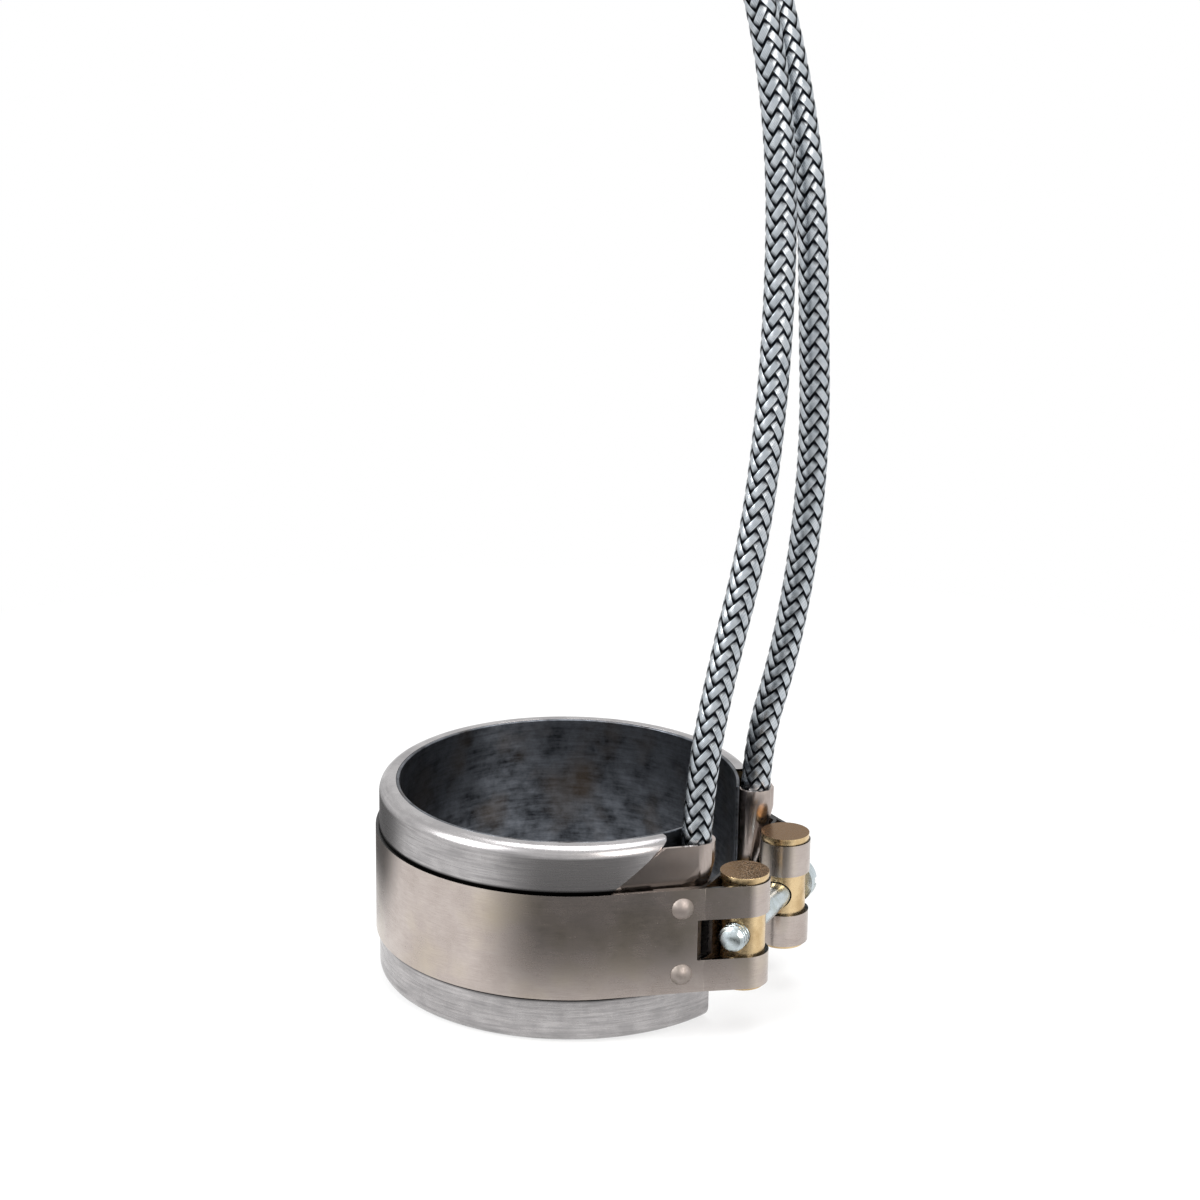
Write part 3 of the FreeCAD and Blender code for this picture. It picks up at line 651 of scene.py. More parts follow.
class HEATER_OT_outer_sheath(bpy.types.Operator):
    """Roll the outer sheath: a wall with rounded rims turned in to the bore"""
    bl_idname = "heater.outer_sheath"
    bl_label = "Outer Sheath"

    def execute(self, context):
        ring = context.scene.heater_ring
        inner, liner, outer = ring_radii()
        half = ring.width / 2
        shell = begin("sheath_shell", bpy.ops.mesh.primitive_cylinder_add, vertices=216,
                      radius=outer, depth=ring.width, end_fill_type="NOTHING")
        for end in (half, -half):
            pick(shell, "EDGE", lambda p: abs(p.z - end) < MM / 10)
            bpy.ops.mesh.extrude_region_move()
            shrink = liner / outer
            bpy.ops.transform.resize(value=(shrink, shrink, 1), center_override=(0, 0, end))
            pick(shell, "EDGE",
                 lambda p: abs(p.z - end) < MM / 10 and p.xy.length > outer - MM / 10)
            bpy.ops.mesh.bevel(offset=ring.rim_radius, segments=10, affect="EDGES")
        open_gap(shell)
        close_edit()
        modify(shell, "SOLIDIFY", thickness=ring.sheet, offset=-1, use_even_offset=True)
        cut(shell, notch_block())
        rear = notch_block()
        rear.data.transform(Matrix.Scale(-1, 4, (0, 1, 0)))
        rear.data.flip_normals()
        cut(shell, rear)
        smooth(shell, 0.09 * MM)
        dress(shell, sheath_steel(), "sheath_steel", "heater", "outer_sheath")
        return {"FINISHED"}


class HEATER_OT_bore_liner(bpy.types.Operator):
    """Roll the bore liner, with broken edges"""
    bl_idname = "heater.bore_liner"
    bl_label = "Bore Liner"

    def execute(self, context):
        ring = context.scene.heater_ring
        inner = ring_radii()[0]
        liner = begin("bore_liner", bpy.ops.mesh.primitive_cylinder_add, vertices=216,
                      radius=inner, depth=ring.width, end_fill_type="NOTHING")
        open_gap(liner)
        close_edit()
        modify(liner, "SOLIDIFY", thickness=ring.sheet, offset=1, use_even_offset=True)
        smooth(liner, 0.16 * MM, 3)
        dress(liner, liner_steel(), "liner_steel", "heater", "inner_sheath")
        return {"FINISHED"}


# ---------------------------------------------------------------- clamp

def tangent_point(p, centre, radius, side):
    """Where the tangent from p touches a circle, on its left (side 1) or right (side -1)."""
    away = p - centre
    spread = math.acos(radius / away.length)
    return centre + polar(radius, heading(away) + side * spread)


def crease(p, q, r, radius):
    """Arc that rounds the corner q of the line p-q-r: its centre, its turn and its two ends."""
    u, v = (p - q).normalized(), (r - q).normalized()
    half = u.angle(v) / 2
    reach = radius / math.tan(half)
    centre = q + (u + v).normalized() * (radius / math.sin(half))
    a, b = q + u * reach, q + v * reach
    turn = (heading(b - centre) - heading(a - centre) + math.pi) % (2 * math.pi) - math.pi
    return centre, turn, a, b


def clamp_points():
    """Places in plan that shape the front half of the strap, on its middle line."""
    ring, clamp, _ = sizes()
    outer = ring_radii()[2]
    strap_r = outer + ring.fit + clamp.strap / 2
    loop_r = clamp.pin / 2 + ring.fit + clamp.strap / 2
    pin = Vector((outer + clamp.pin_out, -clamp.pin_side, 0))
    bend = Vector((outer + clamp.bend_out, -clamp.bend_side, 0))
    leave = tangent_point(bend, ORIGIN, strap_r, -1)
    run = (bend - leave).normalized()
    return strap_r, loop_r, pin, bend, leave, run


class HEATER_OT_clamp_strap(bpy.types.Operator):
    """Bend the clamp strap round the ring and into its two pin loops"""
    bl_idname = "heater.clamp_strap"
    bl_label = "Clamp Strap"

    def execute(self, context):
        ring, clamp, _ = sizes()
        strap_r, loop_r, pin, bend, leave, run = clamp_points()
        inward = Vector((-run.y, run.x, 0))
        tail_bend = bend + inward * (clamp.strap + clamp.tail_gap)
        tail_end = tail_bend - run * clamp.tail
        inner = tangent_point(tail_bend, pin, loop_r, -1)
        outer = tangent_point(bend, pin, loop_r, 1)
        first, first_turn, a, b = crease(tail_end, tail_bend, inner, clamp.crease)
        second, second_turn, c, d = crease(outer, bend, leave, clamp.crease)
        round_pin = -((heading(inner - pin) - heading(outer - pin)) % (2 * math.pi))
        round_ring = -(math.pi + heading(leave))

        strap = point_sheet("clamp_strap_band", tail_end - UP * clamp.height / 2)
        push(UP * clamp.height)
        bpy.ops.mesh.select_all(action="SELECT")
        push(a - tail_end)
        swing(first, first_turn, 8)
        push(inner - b)
        swing(pin, round_pin, 40)
        push(c - outer)
        swing(second, second_turn, 8)
        push(leave - d)
        swing(ORIGIN, round_ring, 82)
        outward(strap)
        close_edit()
        modify(strap, "MIRROR", use_axis=(False, True, False), merge_threshold=0.01 * MM)
        modify(strap, "SOLIDIFY", thickness=clamp.strap, offset=0, use_even_offset=True)
        reach = pin.x + loop_r + CUT_OVER
        lead_in = bend.x - WINDOW_LEAD
        in_loop = pin.x - clamp.screw / 2 - WINDOW_SCREW_CLEAR
        windows = [(lead_in, reach, -clamp.bend_side - CUT_OVER,
                    -clamp.bend_side + WINDOW_PAST_CREASE),
                   (in_loop, reach, -clamp.bend_side, 0)]
        for side in (1, -1):
            for x0, x1, y0, y1 in windows:
                cut(strap, box_block(x0, x1, *sorted((side * y0, side * y1)),
                                     -clamp.window / 2, clamp.window / 2))
        cut(strap, head_room())
        smooth(strap, 0.07 * MM)
        dress(strap, strap_steel(), "strap_steel", "heater", "clamp_strap")
        return {"FINISHED"}


def box_block(x0, x1, y0, y1, z0, z1):
    """A block to cut with, from its lowest to its highest corner."""
    block = begin("block", bpy.ops.mesh.primitive_cube_add, size=1,
                  location=((x0 + x1) / 2, (y0 + y1) / 2, (z0 + z1) / 2),
                  scale=(x1 - x0, y1 - y0, z1 - z0))
    close_edit()
    return block


def round_block(radius, start, end, vertices=64):
    """A round bar to cut with, from one point to another."""
    along = end - start
    turn = along.to_track_quat("Z", "Y").to_euler()
    bar = begin("bar", bpy.ops.mesh.primitive_cylinder_add, vertices=vertices, radius=radius,
                depth=along.length, location=(start + end) / 2, rotation=turn)
    close_edit()
    return bar


def head_flat():
    clamp = sizes()[1]
    return clamp.pin_side + clamp.pin / 2 - clamp.head_flat


def head_room():
    """Space of the screw's head outside the rear pin's flat."""
    clamp = sizes()[1]
    x = clamp_points()[2].x
    high = clamp.head + HEAD_CLEAR
    return box_block(x - high / 2, x + clamp.pin + high / 2, head_flat(),
                     head_flat() + clamp.bend_side, -high / 2, high / 2)


class HEATER_OT_cross_pins(bpy.types.Operator):
    """Turn the two headed cross pins and drill them for the screw"""
    bl_idname = "heater.cross_pins"
    bl_label = "Cross Pins"

    def execute(self, context):
        clamp = context.scene.heater_clamp
        finish = yellow_zinc()
        x = clamp_points()[2].x
        low, high = -clamp.height / 2 - clamp.pin_stickout, clamp.height / 2
        for side, name, node, slack in ((-1, "front_cross_nut", "front_barrel_nut", NUT_SLACK),
                                        (1, "rear_cross_pin", "rear_barrel_pin", PIN_SLACK)):
            y = side * clamp.pin_side
            pin = begin(name, bpy.ops.mesh.primitive_cylinder_add, vertices=96,
                        radius=clamp.pin / 2, depth=high - low, location=(x, y, (low + high) / 2))
            pick(pin, "FACE", lambda p: p.z > high - MM / 10)
            bpy.ops.mesh.extrude_region_move()
            grow = clamp.disc / clamp.pin
            bpy.ops.transform.resize(value=(grow, grow, 1), center_override=(x, y, high))
            push(UP * clamp.disc_height)
            close_edit()
            bore = clamp.screw / 2 + slack / 2
            cut(pin, round_block(bore, Vector((x, y - clamp.pin, 0)),
                                 Vector((x, y + clamp.pin, 0))))
            if side > 0:
                cut(pin, head_room())
            smooth(pin, 0.24 * MM, 3)
            dress(pin, finish, "yellow_zinc", "heater", node)
        return {"FINISHED"}


class HEATER_OT_clamp_screw(bpy.types.Operator):
    """Form the slotted cheese-head screw and roll its thread"""
    bl_idname = "heater.clamp_screw"
    bl_label = "Clamp Screw"

    def execute(self, context):
        clamp = context.scene.heater_clamp
        x = clamp_points()[2].x
        seat = head_flat() + SEAT_GAP
        top = seat + clamp.head_height
        tip = -clamp.pin_side - clamp.pin / 2 - clamp.protrusion
        plain = -clamp.pin_side + THREAD_PAST_NUT
        radius, root = clamp.screw / 2, clamp.screw / 2 - THREAD_DEPTH * clamp.pitch
        screw = begin("cheese_head_screw", bpy.ops.mesh.primitive_cylinder_add, vertices=96,
                      radius=clamp.head / 2, depth=clamp.head_height,
                      location=(x, (seat + top) / 2, 0), rotation=(math.pi / 2, 0, 0))
        pick(screw, "FACE", lambda p: p.y < seat + MM / 100)
        bpy.ops.mesh.inset(thickness=clamp.head / 2 - radius)
        push((0, plain - seat, 0))
        pick(screw, "EDGE", lambda p: p.y > top - MM / 100)
        bpy.ops.mesh.bevel(offset=0.5 * MM, segments=6, affect="EDGES")
        close_edit()
        slot = box_block(x - clamp.head, x + clamp.head, top - SLOT_DEPTH, top + MM,
                         -SLOT_WIDTH / 2, SLOT_WIDTH / 2)
        cut(screw, slot)
        turns = np.linspace(0, 2 * math.pi, 48, endpoint=False)
        rows = []
        for y in np.arange(tip, plain + 0.4 * MM, clamp.pitch / 14):
            place = (y / clamp.pitch - turns / (2 * math.pi)) % 1
            flank = np.clip(1.8 - np.abs(place - 0.5) * 4, 0, 1)
            reach = np.minimum(root + (radius - root) * flank, radius - TIP_BEVEL + (y - tip))
            rows.append(np.stack([x + reach * np.cos(turns), np.full(48, y),
                                  reach * np.sin(turns)], 1))
        thread = skin("thread", [np.array(rows[::-1])])
        smooth(screw, 0.04 * MM)
        activate(screw)
        thread.select_set(True)
        bpy.ops.object.join()
        dress(screw, clear_zinc(), "clear_zinc", "clamp_screw", "clamp_screw")
        return {"FINISHED"}


class HEATER_OT_rivets(bpy.types.Operator):
    """Head the four rivets through the strap and its tails"""
    bl_idname = "heater.rivets"
    bl_label = "Rivets"

    def execute(self, context):
        clamp = context.scene.heater_clamp
        _, _, _, bend, _, run = clamp_points()
        out = Vector((run.y, -run.x, 0))
        finish = rivet_steel()
        r, high = clamp.rivet_head / 2, clamp.rivet_height
        under = -2 * clamp.strap - clamp.tail_gap
        ball = (r * r + high * high) / (2 * high)
        rim = math.asin(r / ball)
        dome = [(ball * math.sin(rim * k / 12), high - ball + ball * math.cos(rim * k / 12))
                for k in range(13)]
        rivet = lathe("rivet", dome + [(MM, 0), (MM, under), (1.5 * MM, under),
                                       (1.5 * MM, under - 0.4 * MM), (0, under - 0.4 * MM)])
        smooth(rivet, 0.08 * MM, 2, 60)
        seat = bend - run * clamp.rivet_from_crease + out * clamp.strap / 2
        for end, side in SIDES.items():
            for row in (-1, 1):
                place = Vector((seat.x, -side * seat.y, row * clamp.rivet_spacing / 2))
                way = Vector((out.x, -side * out.y, 0))
                name = end + ("_upper" if row > 0 else "_lower") + "_rivet"
                turn = way.to_track_quat("Z", "Y").to_matrix().to_4x4()
                one = twin(rivet, name, Matrix.Translation(place) @ turn)
                dress(one, finish, "rivet_steel", "heater", end + "_rivets")
        bpy.data.objects.remove(rivet)
        return {"FINISHED"}


# ---------------------------------------------------------------- leads

def lead_start(side):
    leads = sizes()[2]
    ring = sizes()[0]
    radius = ring_radii()[1] + leads.to_liner + leads.diameter / 2
    z = ring.width / 2 - leads.hood_drop - leads.mouth + leads.braid_lift
    return polar(radius, side * leads.angle, z)


def hood_profile(name, z, centre_r, tube_r, skirt_r):
    """Outline of the hood at one height: skirt, tangent flank, and round the lead."""
    ring, _, leads = sizes()
    lead = -leads.angle
    slope = math.acos((skirt_r - tube_r) / centre_r)
    centre = polar(centre_r, lead)
    edge = -(ring.notch_low + HOOD_LAP)
    touch = lead - slope
    start = polar(skirt_r, edge)
    profile = point_sheet(name, start + UP * z)
    swing(ORIGIN, touch - edge, 24)
    push(centre + polar(tube_r, touch) - polar(skirt_r, touch))
    swing(centre, math.pi + slope, 40)
    close_edit()
    return profile


class HEATER_OT_lead_hoods(bpy.types.Operator):
    """Press the two hoods that lead the braids into the ring"""
    bl_idname = "heater.lead_hoods"
    bl_label = "Lead Hoods"

    def execute(self, context):
        ring, _, leads = sizes()
        _, liner, outer = ring_radii()
        half = ring.width / 2
        top = half - leads.hood_drop
        mouth_z = top - leads.mouth
        skirt = outer - ring.sheet - ring.fit
        lead_r = liner + leads.to_liner + leads.diameter / 2
        mouth_tube = leads.diameter / 2 + leads.hood_clear + leads.hood
        bush_r = liner + ring.fit + leads.bush / 2
        foot_tube = leads.bush / 2 + BUSH_CLEAR + leads.hood
        foot = hood_profile("hood_foot", ring.notch_floor, bush_r, foot_tube, skirt)
        hood = hood_profile("front_lead_hood", mouth_z, lead_r, mouth_tube, skirt)
        activate(hood)
        foot.select_set(True)
        bpy.ops.object.join()
        bpy.ops.object.mode_set(mode="EDIT")
        bpy.ops.mesh.select_all(action="SELECT")
        bpy.ops.mesh.bridge_edge_loops()
        pick(hood, "EDGE", lambda p: p.z > mouth_z - MM / 100)
        push(UP * leads.mouth)
        outward(hood, polar(lead_r - 3 * MM, -leads.angle - 0.12))
        close_edit()
        modify(hood, "TRIANGULATE")
        modify(hood, "SOLIDIFY", thickness=leads.hood, offset=-1, use_even_offset=True)
        modify(hood, "TRIANGULATE")
        cut(hood, notch_block(ring.fit), "INTERSECT")
        cut(hood, round_block(liner + ring.fit, UP * -half, UP * half, 216))
        smooth(hood, 0.05 * MM, 2, 35)
        finish = hood_steel()
        dress(rear_copy(hood, "rear_lead_hood"), finish, "hood_steel", "heater", "rear_lead_cover")
        dress(hood, finish, "hood_steel", "heater", "front_lead_cover")
        return {"FINISHED"}


CARRIERS = 16       # eight each way
WIRES = 5           # wires drawn in each carrier's bundle
SWELL = 0.105 * MM  # how far a bundle rises and dips as it goes over and under
WIRE_T = 0.1 * MM


def read_route(points):
    """Points of the smooth line that a lead follows, evenly spaced."""
    curve = bpy.data.curves.new("route", "CURVE")
    curve.dimensions = "3D"
    spline = curve.splines.new("NURBS")
    spline.points.add(len(points) - 1)
    for knot, p in zip(spline.points, points):
        knot.co = (*p, 1)
    spline.order_u = 3
    spline.use_endpoint_u = True
    spline.resolution_u = 24
    holder = bpy.data.objects.new("route", curve)
    bpy.context.collection.objects.link(holder)
    mesh = bpy.data.meshes.new_from_object(holder)
    line = np.array([v.co for v in mesh.vertices])
    bpy.data.objects.remove(holder)
    return line


def along_route(line, step):
    """Centres and frames at an even spacing, carried along without twisting."""
    run = np.concatenate([[0], np.cumsum(np.linalg.norm(np.diff(line, axis=0), axis=1))])
    count = int(run[-1] / step)
    s = np.linspace(0, run[-1], count + 1)
    centres = np.stack([np.interp(s, run, line[:, k]) for k in range(3)], 1)
    tangents = np.gradient(centres, axis=0)
    tangents /= np.linalg.norm(tangents, axis=1)[:, None]
    side = np.cross(tangents[0], (0, 1, 0))
    frames = []
    for t in tangents:
        side = side - t * side.dot(t)
        side /= np.linalg.norm(side)
        frames.append((t, side, np.cross(t, side)))
    return s, centres, np.array(frames)


def skin(name, rings, across=None, cycles=None):
    """A closed skin over rows of cross-sections, with its own coordinates over and along."""
    verts, faces, width_uv = [], [], []
    for number, rows in enumerate(rings):
        first, sides = len(verts), rows.shape[1]
        verts.extend(rows.reshape(-1, 3))
        places = np.linspace(0, 1, sides) if across is None else across
        along = np.arange(len(rows)) / 4 if cycles is None else cycles[number]
        width_uv.extend([(places[k], level) for level in along for k in range(sides)])
        for i in range(len(rows) - 1):
            a, b = first + i * sides, first + (i + 1) * sides
            faces.extend((a + k, a + (k + 1) % sides, b + (k + 1) % sides, b + k)
                         for k in range(sides))
        faces.append(tuple(range(first + sides - 1, first - 1, -1)))
        last = first + (len(rows) - 1) * sides
        faces.append(tuple(range(last, last + sides)))
    mesh = bpy.data.meshes.new(name)
    mesh.from_pydata(np.array(verts).tolist(), [], faces)
    uv = mesh.uv_layers.new(name="UVMap")
    corners = np.empty(len(mesh.loops), dtype=np.int32)
    mesh.loops.foreach_get("vertex_index", corners)
    uv.data.foreach_set("uv", np.array(width_uv, dtype=np.float32)[corners].ravel())
    piece = bpy.data.objects.new(name, mesh)
    bpy.context.collection.objects.link(piece)
    activate(piece)
    bpy.ops.object.shade_smooth_by_angle(angle=math.radians(50))
    return piece


def ribbon(s, centres, frames, radius, lay, phase, way, width):
    """One carrier's bundle: flat, wound at its lay, over two and under two of the others."""
    slant = way * 2 * math.pi / lay
    lean = math.atan(2 * math.pi * radius / lay)
    section = [(-1, 0.5, 0), (-0.4, 0.5, 0.3), (0.4, 0.5, 0.3), (1, 0.5, 0), (1, -0.5, 0),
               (-1, -0.5, 0)]
    rows = []
    for x, level, crown in section:
        x *= width / 2
        over_s = -way * x * math.sin(lean)
        turn = phase + slant * s + x * math.cos(lean) / radius
        column = (phase + slant * s) * CARRIERS / (2 * math.pi)
        weave = way * np.sin(1.3 * np.cos(math.pi / 2 * (column - 0.5))) / math.sin(1.3)
        reach = radius + SWELL * weave + WIRE_T * (level + crown)
        rows.append(centres + frames[:, 0] * over_s
                    + frames[:, 1] * (reach * np.cos(turn))[:, None]
                    + frames[:, 2] * (reach * np.sin(turn))[:, None])
    return np.stack(rows, 1)


def tube(centres, frames, radius, sides):
    """Rows of a round tube along the centres."""
    turns = np.linspace(0, 2 * math.pi, sides, endpoint=False)
    radius = np.broadcast_to(radius, len(centres))
    return (centres[:, None] + frames[:, None, 1] * (radius[:, None] * np.cos(turns))[..., None]
            + frames[:, None, 2] * (radius[:, None] * np.sin(turns))[..., None])


class HEATER_OT_braided_leads(bpy.types.Operator):
    """Braid the two leads along their routes and finish their ends"""
    bl_idname = "heater.braided_leads"
    bl_label = "Braided Leads"

    def execute(self, context):
        leads = context.scene.heater_leads
        steel, core, glass, tinned = braid_steel(), lead_core(), glass_sleeving(), nickel()
        cap = coated("crimped_ferrule_steel", linear("#a8a5a3"), "#8b8886", 0.3, 1.5, 0.8)
        base = leads.diameter / 2 - SWELL - WIRE_T * 0.8
        for end, side in SIDES.items():
            start = lead_start(side)
            line = read_route([start] + [start + Vector(p) for p in ROUTES[end]])
            s, centres, frames = along_route(line, leads.lay / 80)
            rows, cycles = [], []
            for i in range(CARRIERS // 2):
                for way in (1, -1):
                    phase = 4 * math.pi * i / CARRIERS
                    column = (phase + way * 2 * math.pi * s / leads.lay) * CARRIERS / (2 * math.pi)
                    # phase of the weave along each bundle, which places the painted shade where it
                    # dips under
                    cycles.append((column - 0.5) / 4 + (way < 0) / 2)
                    rows.append(ribbon(s, centres, frames, base, leads.lay, phase, way,
                                       leads.ribbon))
            braid = skin(end + "_braid", rows, (0.0, 0.3, 0.7, 1.0, 1.0, 0.0), cycles)
            dress(braid, steel, "braid_steel", "heater", end + "_lead_braid")
            # the core is near-black, so the gaps in the braid show painted shade
            core_shade = skin(end + "_lead_core", [tube(centres[::8], frames[::8], base - SWELL - WIRE_T,
                                                  20)])
            dress(core_shade, core, "glass_sleeving", "heater")
            out = frames[-1]
            far = centres[-1]

            def rod(name, radii, sides, material, slot, node):
                at = np.array([far + out[0] * z for z, _ in radii])
                rods = tube(at, np.repeat(out[None], len(at), 0), np.array([r for _, r in radii]),
                            sides)
                made = skin(name, [rods])
                dress(made, material, slot, "heater", node)
                return made

            r, depth = leads.ferrule / 2, leads.ferrule_length
            waist = r - 0.35 * MM
            ferrule = rod(end + "_ferrule", [
                (0, r - 0.2 * MM), (0.2 * MM, r), (depth * 0.25, r), (depth * 0.3, waist),
                (depth * 0.38, waist), (depth * 0.43, r), (depth * 0.57, r), (depth * 0.62, waist),
                (depth * 0.7, waist), (depth * 0.75, r), (depth - 0.2 * MM, r),
                (depth, r - 0.2 * MM)], 48, cap, "ferrule_steel", end + "_lead_ferrule")
            wire_r, wire_end = leads.wire / 2, leads.wire_length
            count = 40
            sleeve = rod(end + "_sleeved_wire",
                         [(depth / 2 + (wire_end - depth / 2) * k / count, wire_r)
                          for k in range(count + 1)], 32, glass, "glass_sleeving",
                         end + "_lead_wire")
            strand_s = np.linspace(wire_end - MM, wire_end + leads.conductor_length, 60)
            strand_at = far + out[0] * strand_s[:, None]
            strand_frames = np.repeat(out[None], len(strand_s), 0)
            third = leads.conductor / 6
            bundle = [tube(strand_at, strand_frames, third, 10)]
            for k in range(6):
                turn = k * math.pi / 3 + strand_s / (9 * MM) * 2 * math.pi
                path = (strand_at + out[1] * (2 * third * np.cos(turn))[:, None]
                        + out[2] * (2 * third * np.sin(turn))[:, None])
                bundle.append(tube(path, strand_frames, third, 10))
            strands = skin(end + "_strands", bundle)
            dress(strands, tinned, "nickel", "heater", end + "_lead_conductor")
        return {"FINISHED"}


class HEATER_OT_inner_pieces(bpy.types.Operator):
    """Finish the ring's filling, its end caps and the terminals inside the hoods"""
    bl_idname = "heater.inner_pieces"
    bl_label = "Inner Pieces"

    def execute(self, context):
        board, ceramic, plated = mica(), steatite(), nickel()
        plate = strip_steel("end_cap_steel", linear("#9a9795"), "#5f5d5e", 0.36, 3, 1,
                            (0.4, 0.4, 4))
        finishes = {"contact_insulation": board, "backing_insulation": board,
                    "heating_element": resistance_alloy()}
        for end in SIDES:
            finishes.update({end + "_end_cap": plate, end + "_terminal_pin": plated,
                             end + "_terminal_bush": ceramic, end + "_crimp": plated})
        for node, finish in finishes.items():
            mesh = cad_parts[node].data
            mesh.materials.clear()
            mesh.materials.append(finish)
        return {"FINISHED"}


# ---------------------------------------------------------------- stage

CARDS = ((-60, 48), (165, 32))   # directions of the dark cards and half their spread, degrees
FLOOR_GLOW = 0.7    # share of the floor that stays white under the object's shadow


def softbox(name, place, aim, size, power, tone):
    lamp = bpy.data.lights.new(name, "AREA")
    lamp.shape = "RECTANGLE"
    lamp.size, lamp.size_y = size
    lamp.energy = power
    lamp.color = linear(tone)[:3]
    holder = bpy.data.objects.new(name, lamp)
    bpy.context.collection.objects.link(holder)
    holder.location = place
    holder.rotation_euler = (Vector(place) - Vector(aim)).to_track_quat("Z", "Y").to_euler()


def white_to_the_lens(tree):
    """Shows plain white to camera, glossy and transmission rays, and the shade to the rest."""
    rays = add(tree, "LightPath")
    seen = rays.outputs["Is Camera Ray"]
    for way in ("Is Glossy Ray", "Is Transmission Ray"):
        seen = add(tree, "Math", {0: seen, 1: rays.outputs[way]}, operation="MAXIMUM").outputs[0]
    return seen


def dark_card():
    """Black card lying in front and behind to the left, with feathered edges, for the metal."""
    material, tree, shader, place = new_material(
        "black_card", Base_Color=linear("#161616"), Roughness=0.9, Specular_IOR_Level=0.0)
    flat = add(tree, "VectorMath", {0: place, 1: (1, 1, 0)}, operation="MULTIPLY")
    away = add(tree, "VectorMath", {0: flat.outputs[0]}, operation="LENGTH")
    way = add(tree, "VectorMath", {0: flat.outputs[0]}, operation="NORMALIZE")
    near = add(tree, "MapRange", {"Value": away.outputs["Value"],
                                            "From Min": 0.036, "From Max": 0.06})
    cover = None
    for turn, width in CARDS:
        aim = polar(1, math.radians(turn))
        lean = add(tree, "VectorMath", {0: way.outputs[0], 1: tuple(aim)}, operation="DOT_PRODUCT")
        part = add(tree, "MapRange",
                   {"Value": lean.outputs["Value"], "From Min": math.cos(math.radians(width)),
                    "From Max": math.cos(math.radians(width * 0.45))}).outputs[0]
        cover = part if cover is None else add(
            tree, "Math", {0: cover, 1: part}, operation="MAXIMUM").outputs[0]
    share = add(tree, "Math", {0: cover, 1: near.outputs[0]}, operation="MULTIPLY")
    far = add(tree, "MapRange",
              {"Value": away.outputs["Value"], "From Min": 0.09, "From Max": 0.16,
               "To Min": 0.9, "To Max": 0.3})
    share = add(tree, "Math", {0: share.outputs[0], 1: far.outputs[0]}, operation="MULTIPLY")
    clear = add(tree, "BsdfTransparent")
    mix = add(tree, "MixShader", {0: share.outputs[0], 1: clear.outputs[0], 2: shader.outputs[0]})
    show(tree, mix)
    return material


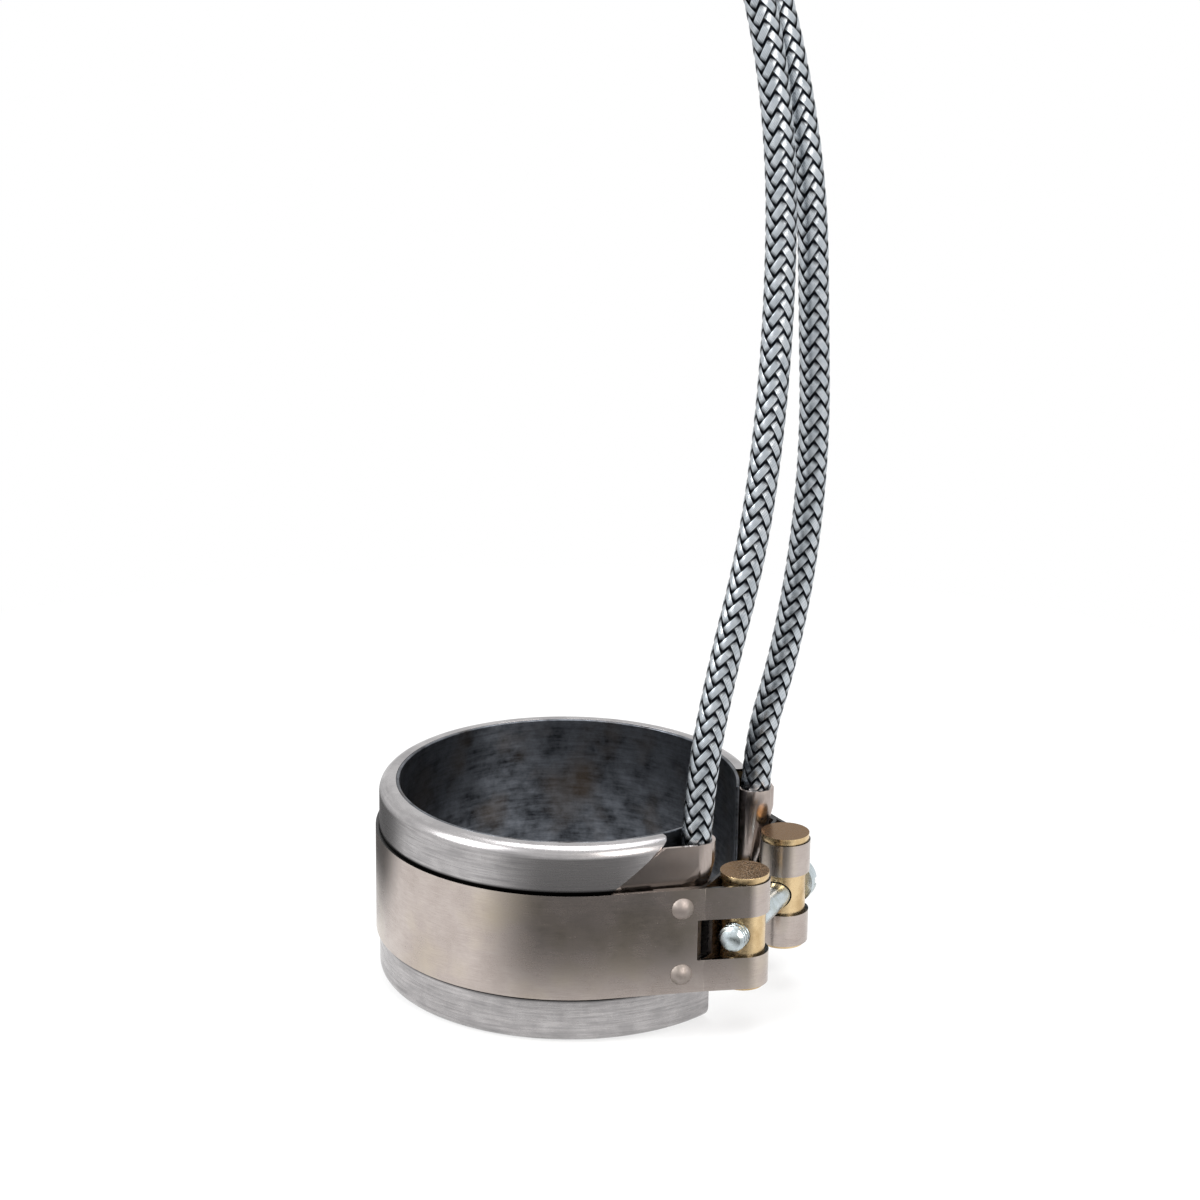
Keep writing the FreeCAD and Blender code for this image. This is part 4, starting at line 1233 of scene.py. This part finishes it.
class HEATER_OT_stage(bpy.types.Operator):
    """Set the pale floor, the soft lights, the white background and the camera"""
    bl_idname = "heater.stage"
    bl_label = "Stage"

    def execute(self, context):
        ring = context.scene.heater_ring
        floor = begin("floor", bpy.ops.mesh.primitive_plane_add, size=0.8,
                      location=(0, 0, -ring.width / 2 - 0.02 * MM))
        close_edit()
        floor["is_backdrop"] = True
        material, tree, shader, place = new_material(
            "pale_paper_sweep", Base_Color=linear("#f2f2f2"), Roughness=0.9, Specular_IOR_Level=0.0)
        glow = add(tree, "Emission", {"Color": (1, 1, 1, 1), "Strength": 1.0})
        seen = white_to_the_lens(tree)
        away = add(tree, "VectorMath", {0: place}, operation="LENGTH")
        fade = add(tree, "MapRange",
                   {"Value": away.outputs["Value"], "From Min": 0.05, "From Max": 0.2,
                    "To Min": FLOOR_GLOW, "To Max": 1.0})
        share = add(tree, "Math", {0: seen, 1: fade.outputs[0]}, operation="MULTIPLY")
        mix = add(tree, "MixShader", {0: share.outputs[0], 1: shader.outputs[0],
                                                2: glow.outputs[0]})
        below = add(tree, "NewGeometry").outputs["Backfacing"]
        clear = add(tree, "BsdfTransparent")
        mix = add(tree, "MixShader", {0: below, 1: mix.outputs[0], 2: clear.outputs[0]})
        show(tree, mix)
        floor.data.materials.append(material)

        card = begin("dark_card", bpy.ops.mesh.primitive_plane_add, size=0.8,
                     location=(0, 0, -ring.width / 2 + 0.1 * MM))
        close_edit()
        card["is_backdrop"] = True
        card.visible_camera = card.visible_diffuse = card.visible_shadow = False
        card.data.materials.append(dark_card())

        world = bpy.data.worlds.new("studio")
        context.scene.world = world
        world.use_nodes = True
        tree = world.node_tree
        tree.nodes.clear()
        seen = white_to_the_lens(tree)
        strength = add(tree, "MapRange", {"Value": seen, "To Min": 0.45, "To Max": 1.0})
        sky = add(tree, "Background", {"Color": (1, 1, 1, 1), "Strength": strength.outputs[0]})
        output = add(tree, "OutputWorld")
        tree.links.new(sky.outputs[0], output.inputs[0])
        softbox("key_softbox", (-0.45, -0.5, 0.45), (0, 0, 0), (0.35, 0.5), 6.5, "#ffffff")
        softbox("fill_softbox", (0.6, -0.35, 0.35), (0, 0, 0), (0.3, 0.5), 3.2, "#fff8f2")
        softbox("top_softbox", (0, 0.15, 0.8), (0, 0, 0), (0.6, 0.6), 6, "#ffffff")

        right = Vector((0.91544, 0.40224, 0.01320))
        above = Vector((-0.13653, 0.27953, 0.95038))
        back = right.cross(above)
        lens = bpy.data.cameras.new("camera")
        lens.lens, lens.sensor_width = 103.28, 36
        lens.clip_start, lens.clip_end = 0.01, 20
        camera = bpy.data.objects.new("camera", lens)
        context.collection.objects.link(camera)
        turn = Matrix((right, above, back)).transposed().to_4x4()
        camera.matrix_world = Matrix.Translation((0.19431, -0.43643, 0.19906)) @ turn
        context.scene.camera = camera
        context.scene.view_settings.view_transform = "Standard"
        return {"FINISHED"}


# ---------------------------------------------------------------- add-on

OPERATORS = (HEATER_OT_outer_sheath, HEATER_OT_bore_liner, HEATER_OT_clamp_strap,
             HEATER_OT_cross_pins, HEATER_OT_clamp_screw, HEATER_OT_rivets,
             HEATER_OT_lead_hoods, HEATER_OT_braided_leads, HEATER_OT_inner_pieces,
             HEATER_OT_stage)
GROUPS = {"heater_ring": HeaterRingSizes, "heater_clamp": HeaterClampSizes,
          "heater_leads": HeaterLeadSizes, "heater_finishes": HeaterFinishes}


class HEATER_PT_panel(bpy.types.Panel):
    """Sizes, finishes and the pieces of the band heater"""
    bl_idname = "HEATER_PT_panel"
    bl_label = "Band Heater"
    bl_space_type = "VIEW_3D"
    bl_region_type = "UI"
    bl_category = "Band Heater"

    def draw(self, context):
        for name, group in GROUPS.items():
            box = self.layout.box()
            for key in group.__annotations__:
                box.prop(getattr(context.scene, name), key)
        for operator in OPERATORS:
            self.layout.operator(operator.bl_idname)


def register():
    for kind in (*GROUPS.values(), *OPERATORS, HEATER_PT_panel):
        bpy.utils.register_class(kind)
    for name, group in GROUPS.items():
        setattr(bpy.types.Scene, name, bpy.props.PointerProperty(type=group))


def unregister():
    for name in GROUPS:
        delattr(bpy.types.Scene, name)
    for kind in (HEATER_PT_panel, *OPERATORS, *GROUPS.values()):
        bpy.utils.unregister_class(kind)


def corners():
    return [list(corner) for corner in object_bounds()]


def main():
    register()
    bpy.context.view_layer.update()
    for operator in OPERATORS:
        family, name = operator.bl_idname.split(".")
        getattr(getattr(bpy.ops, family), name)()


if __name__ == "__main__":
    main()
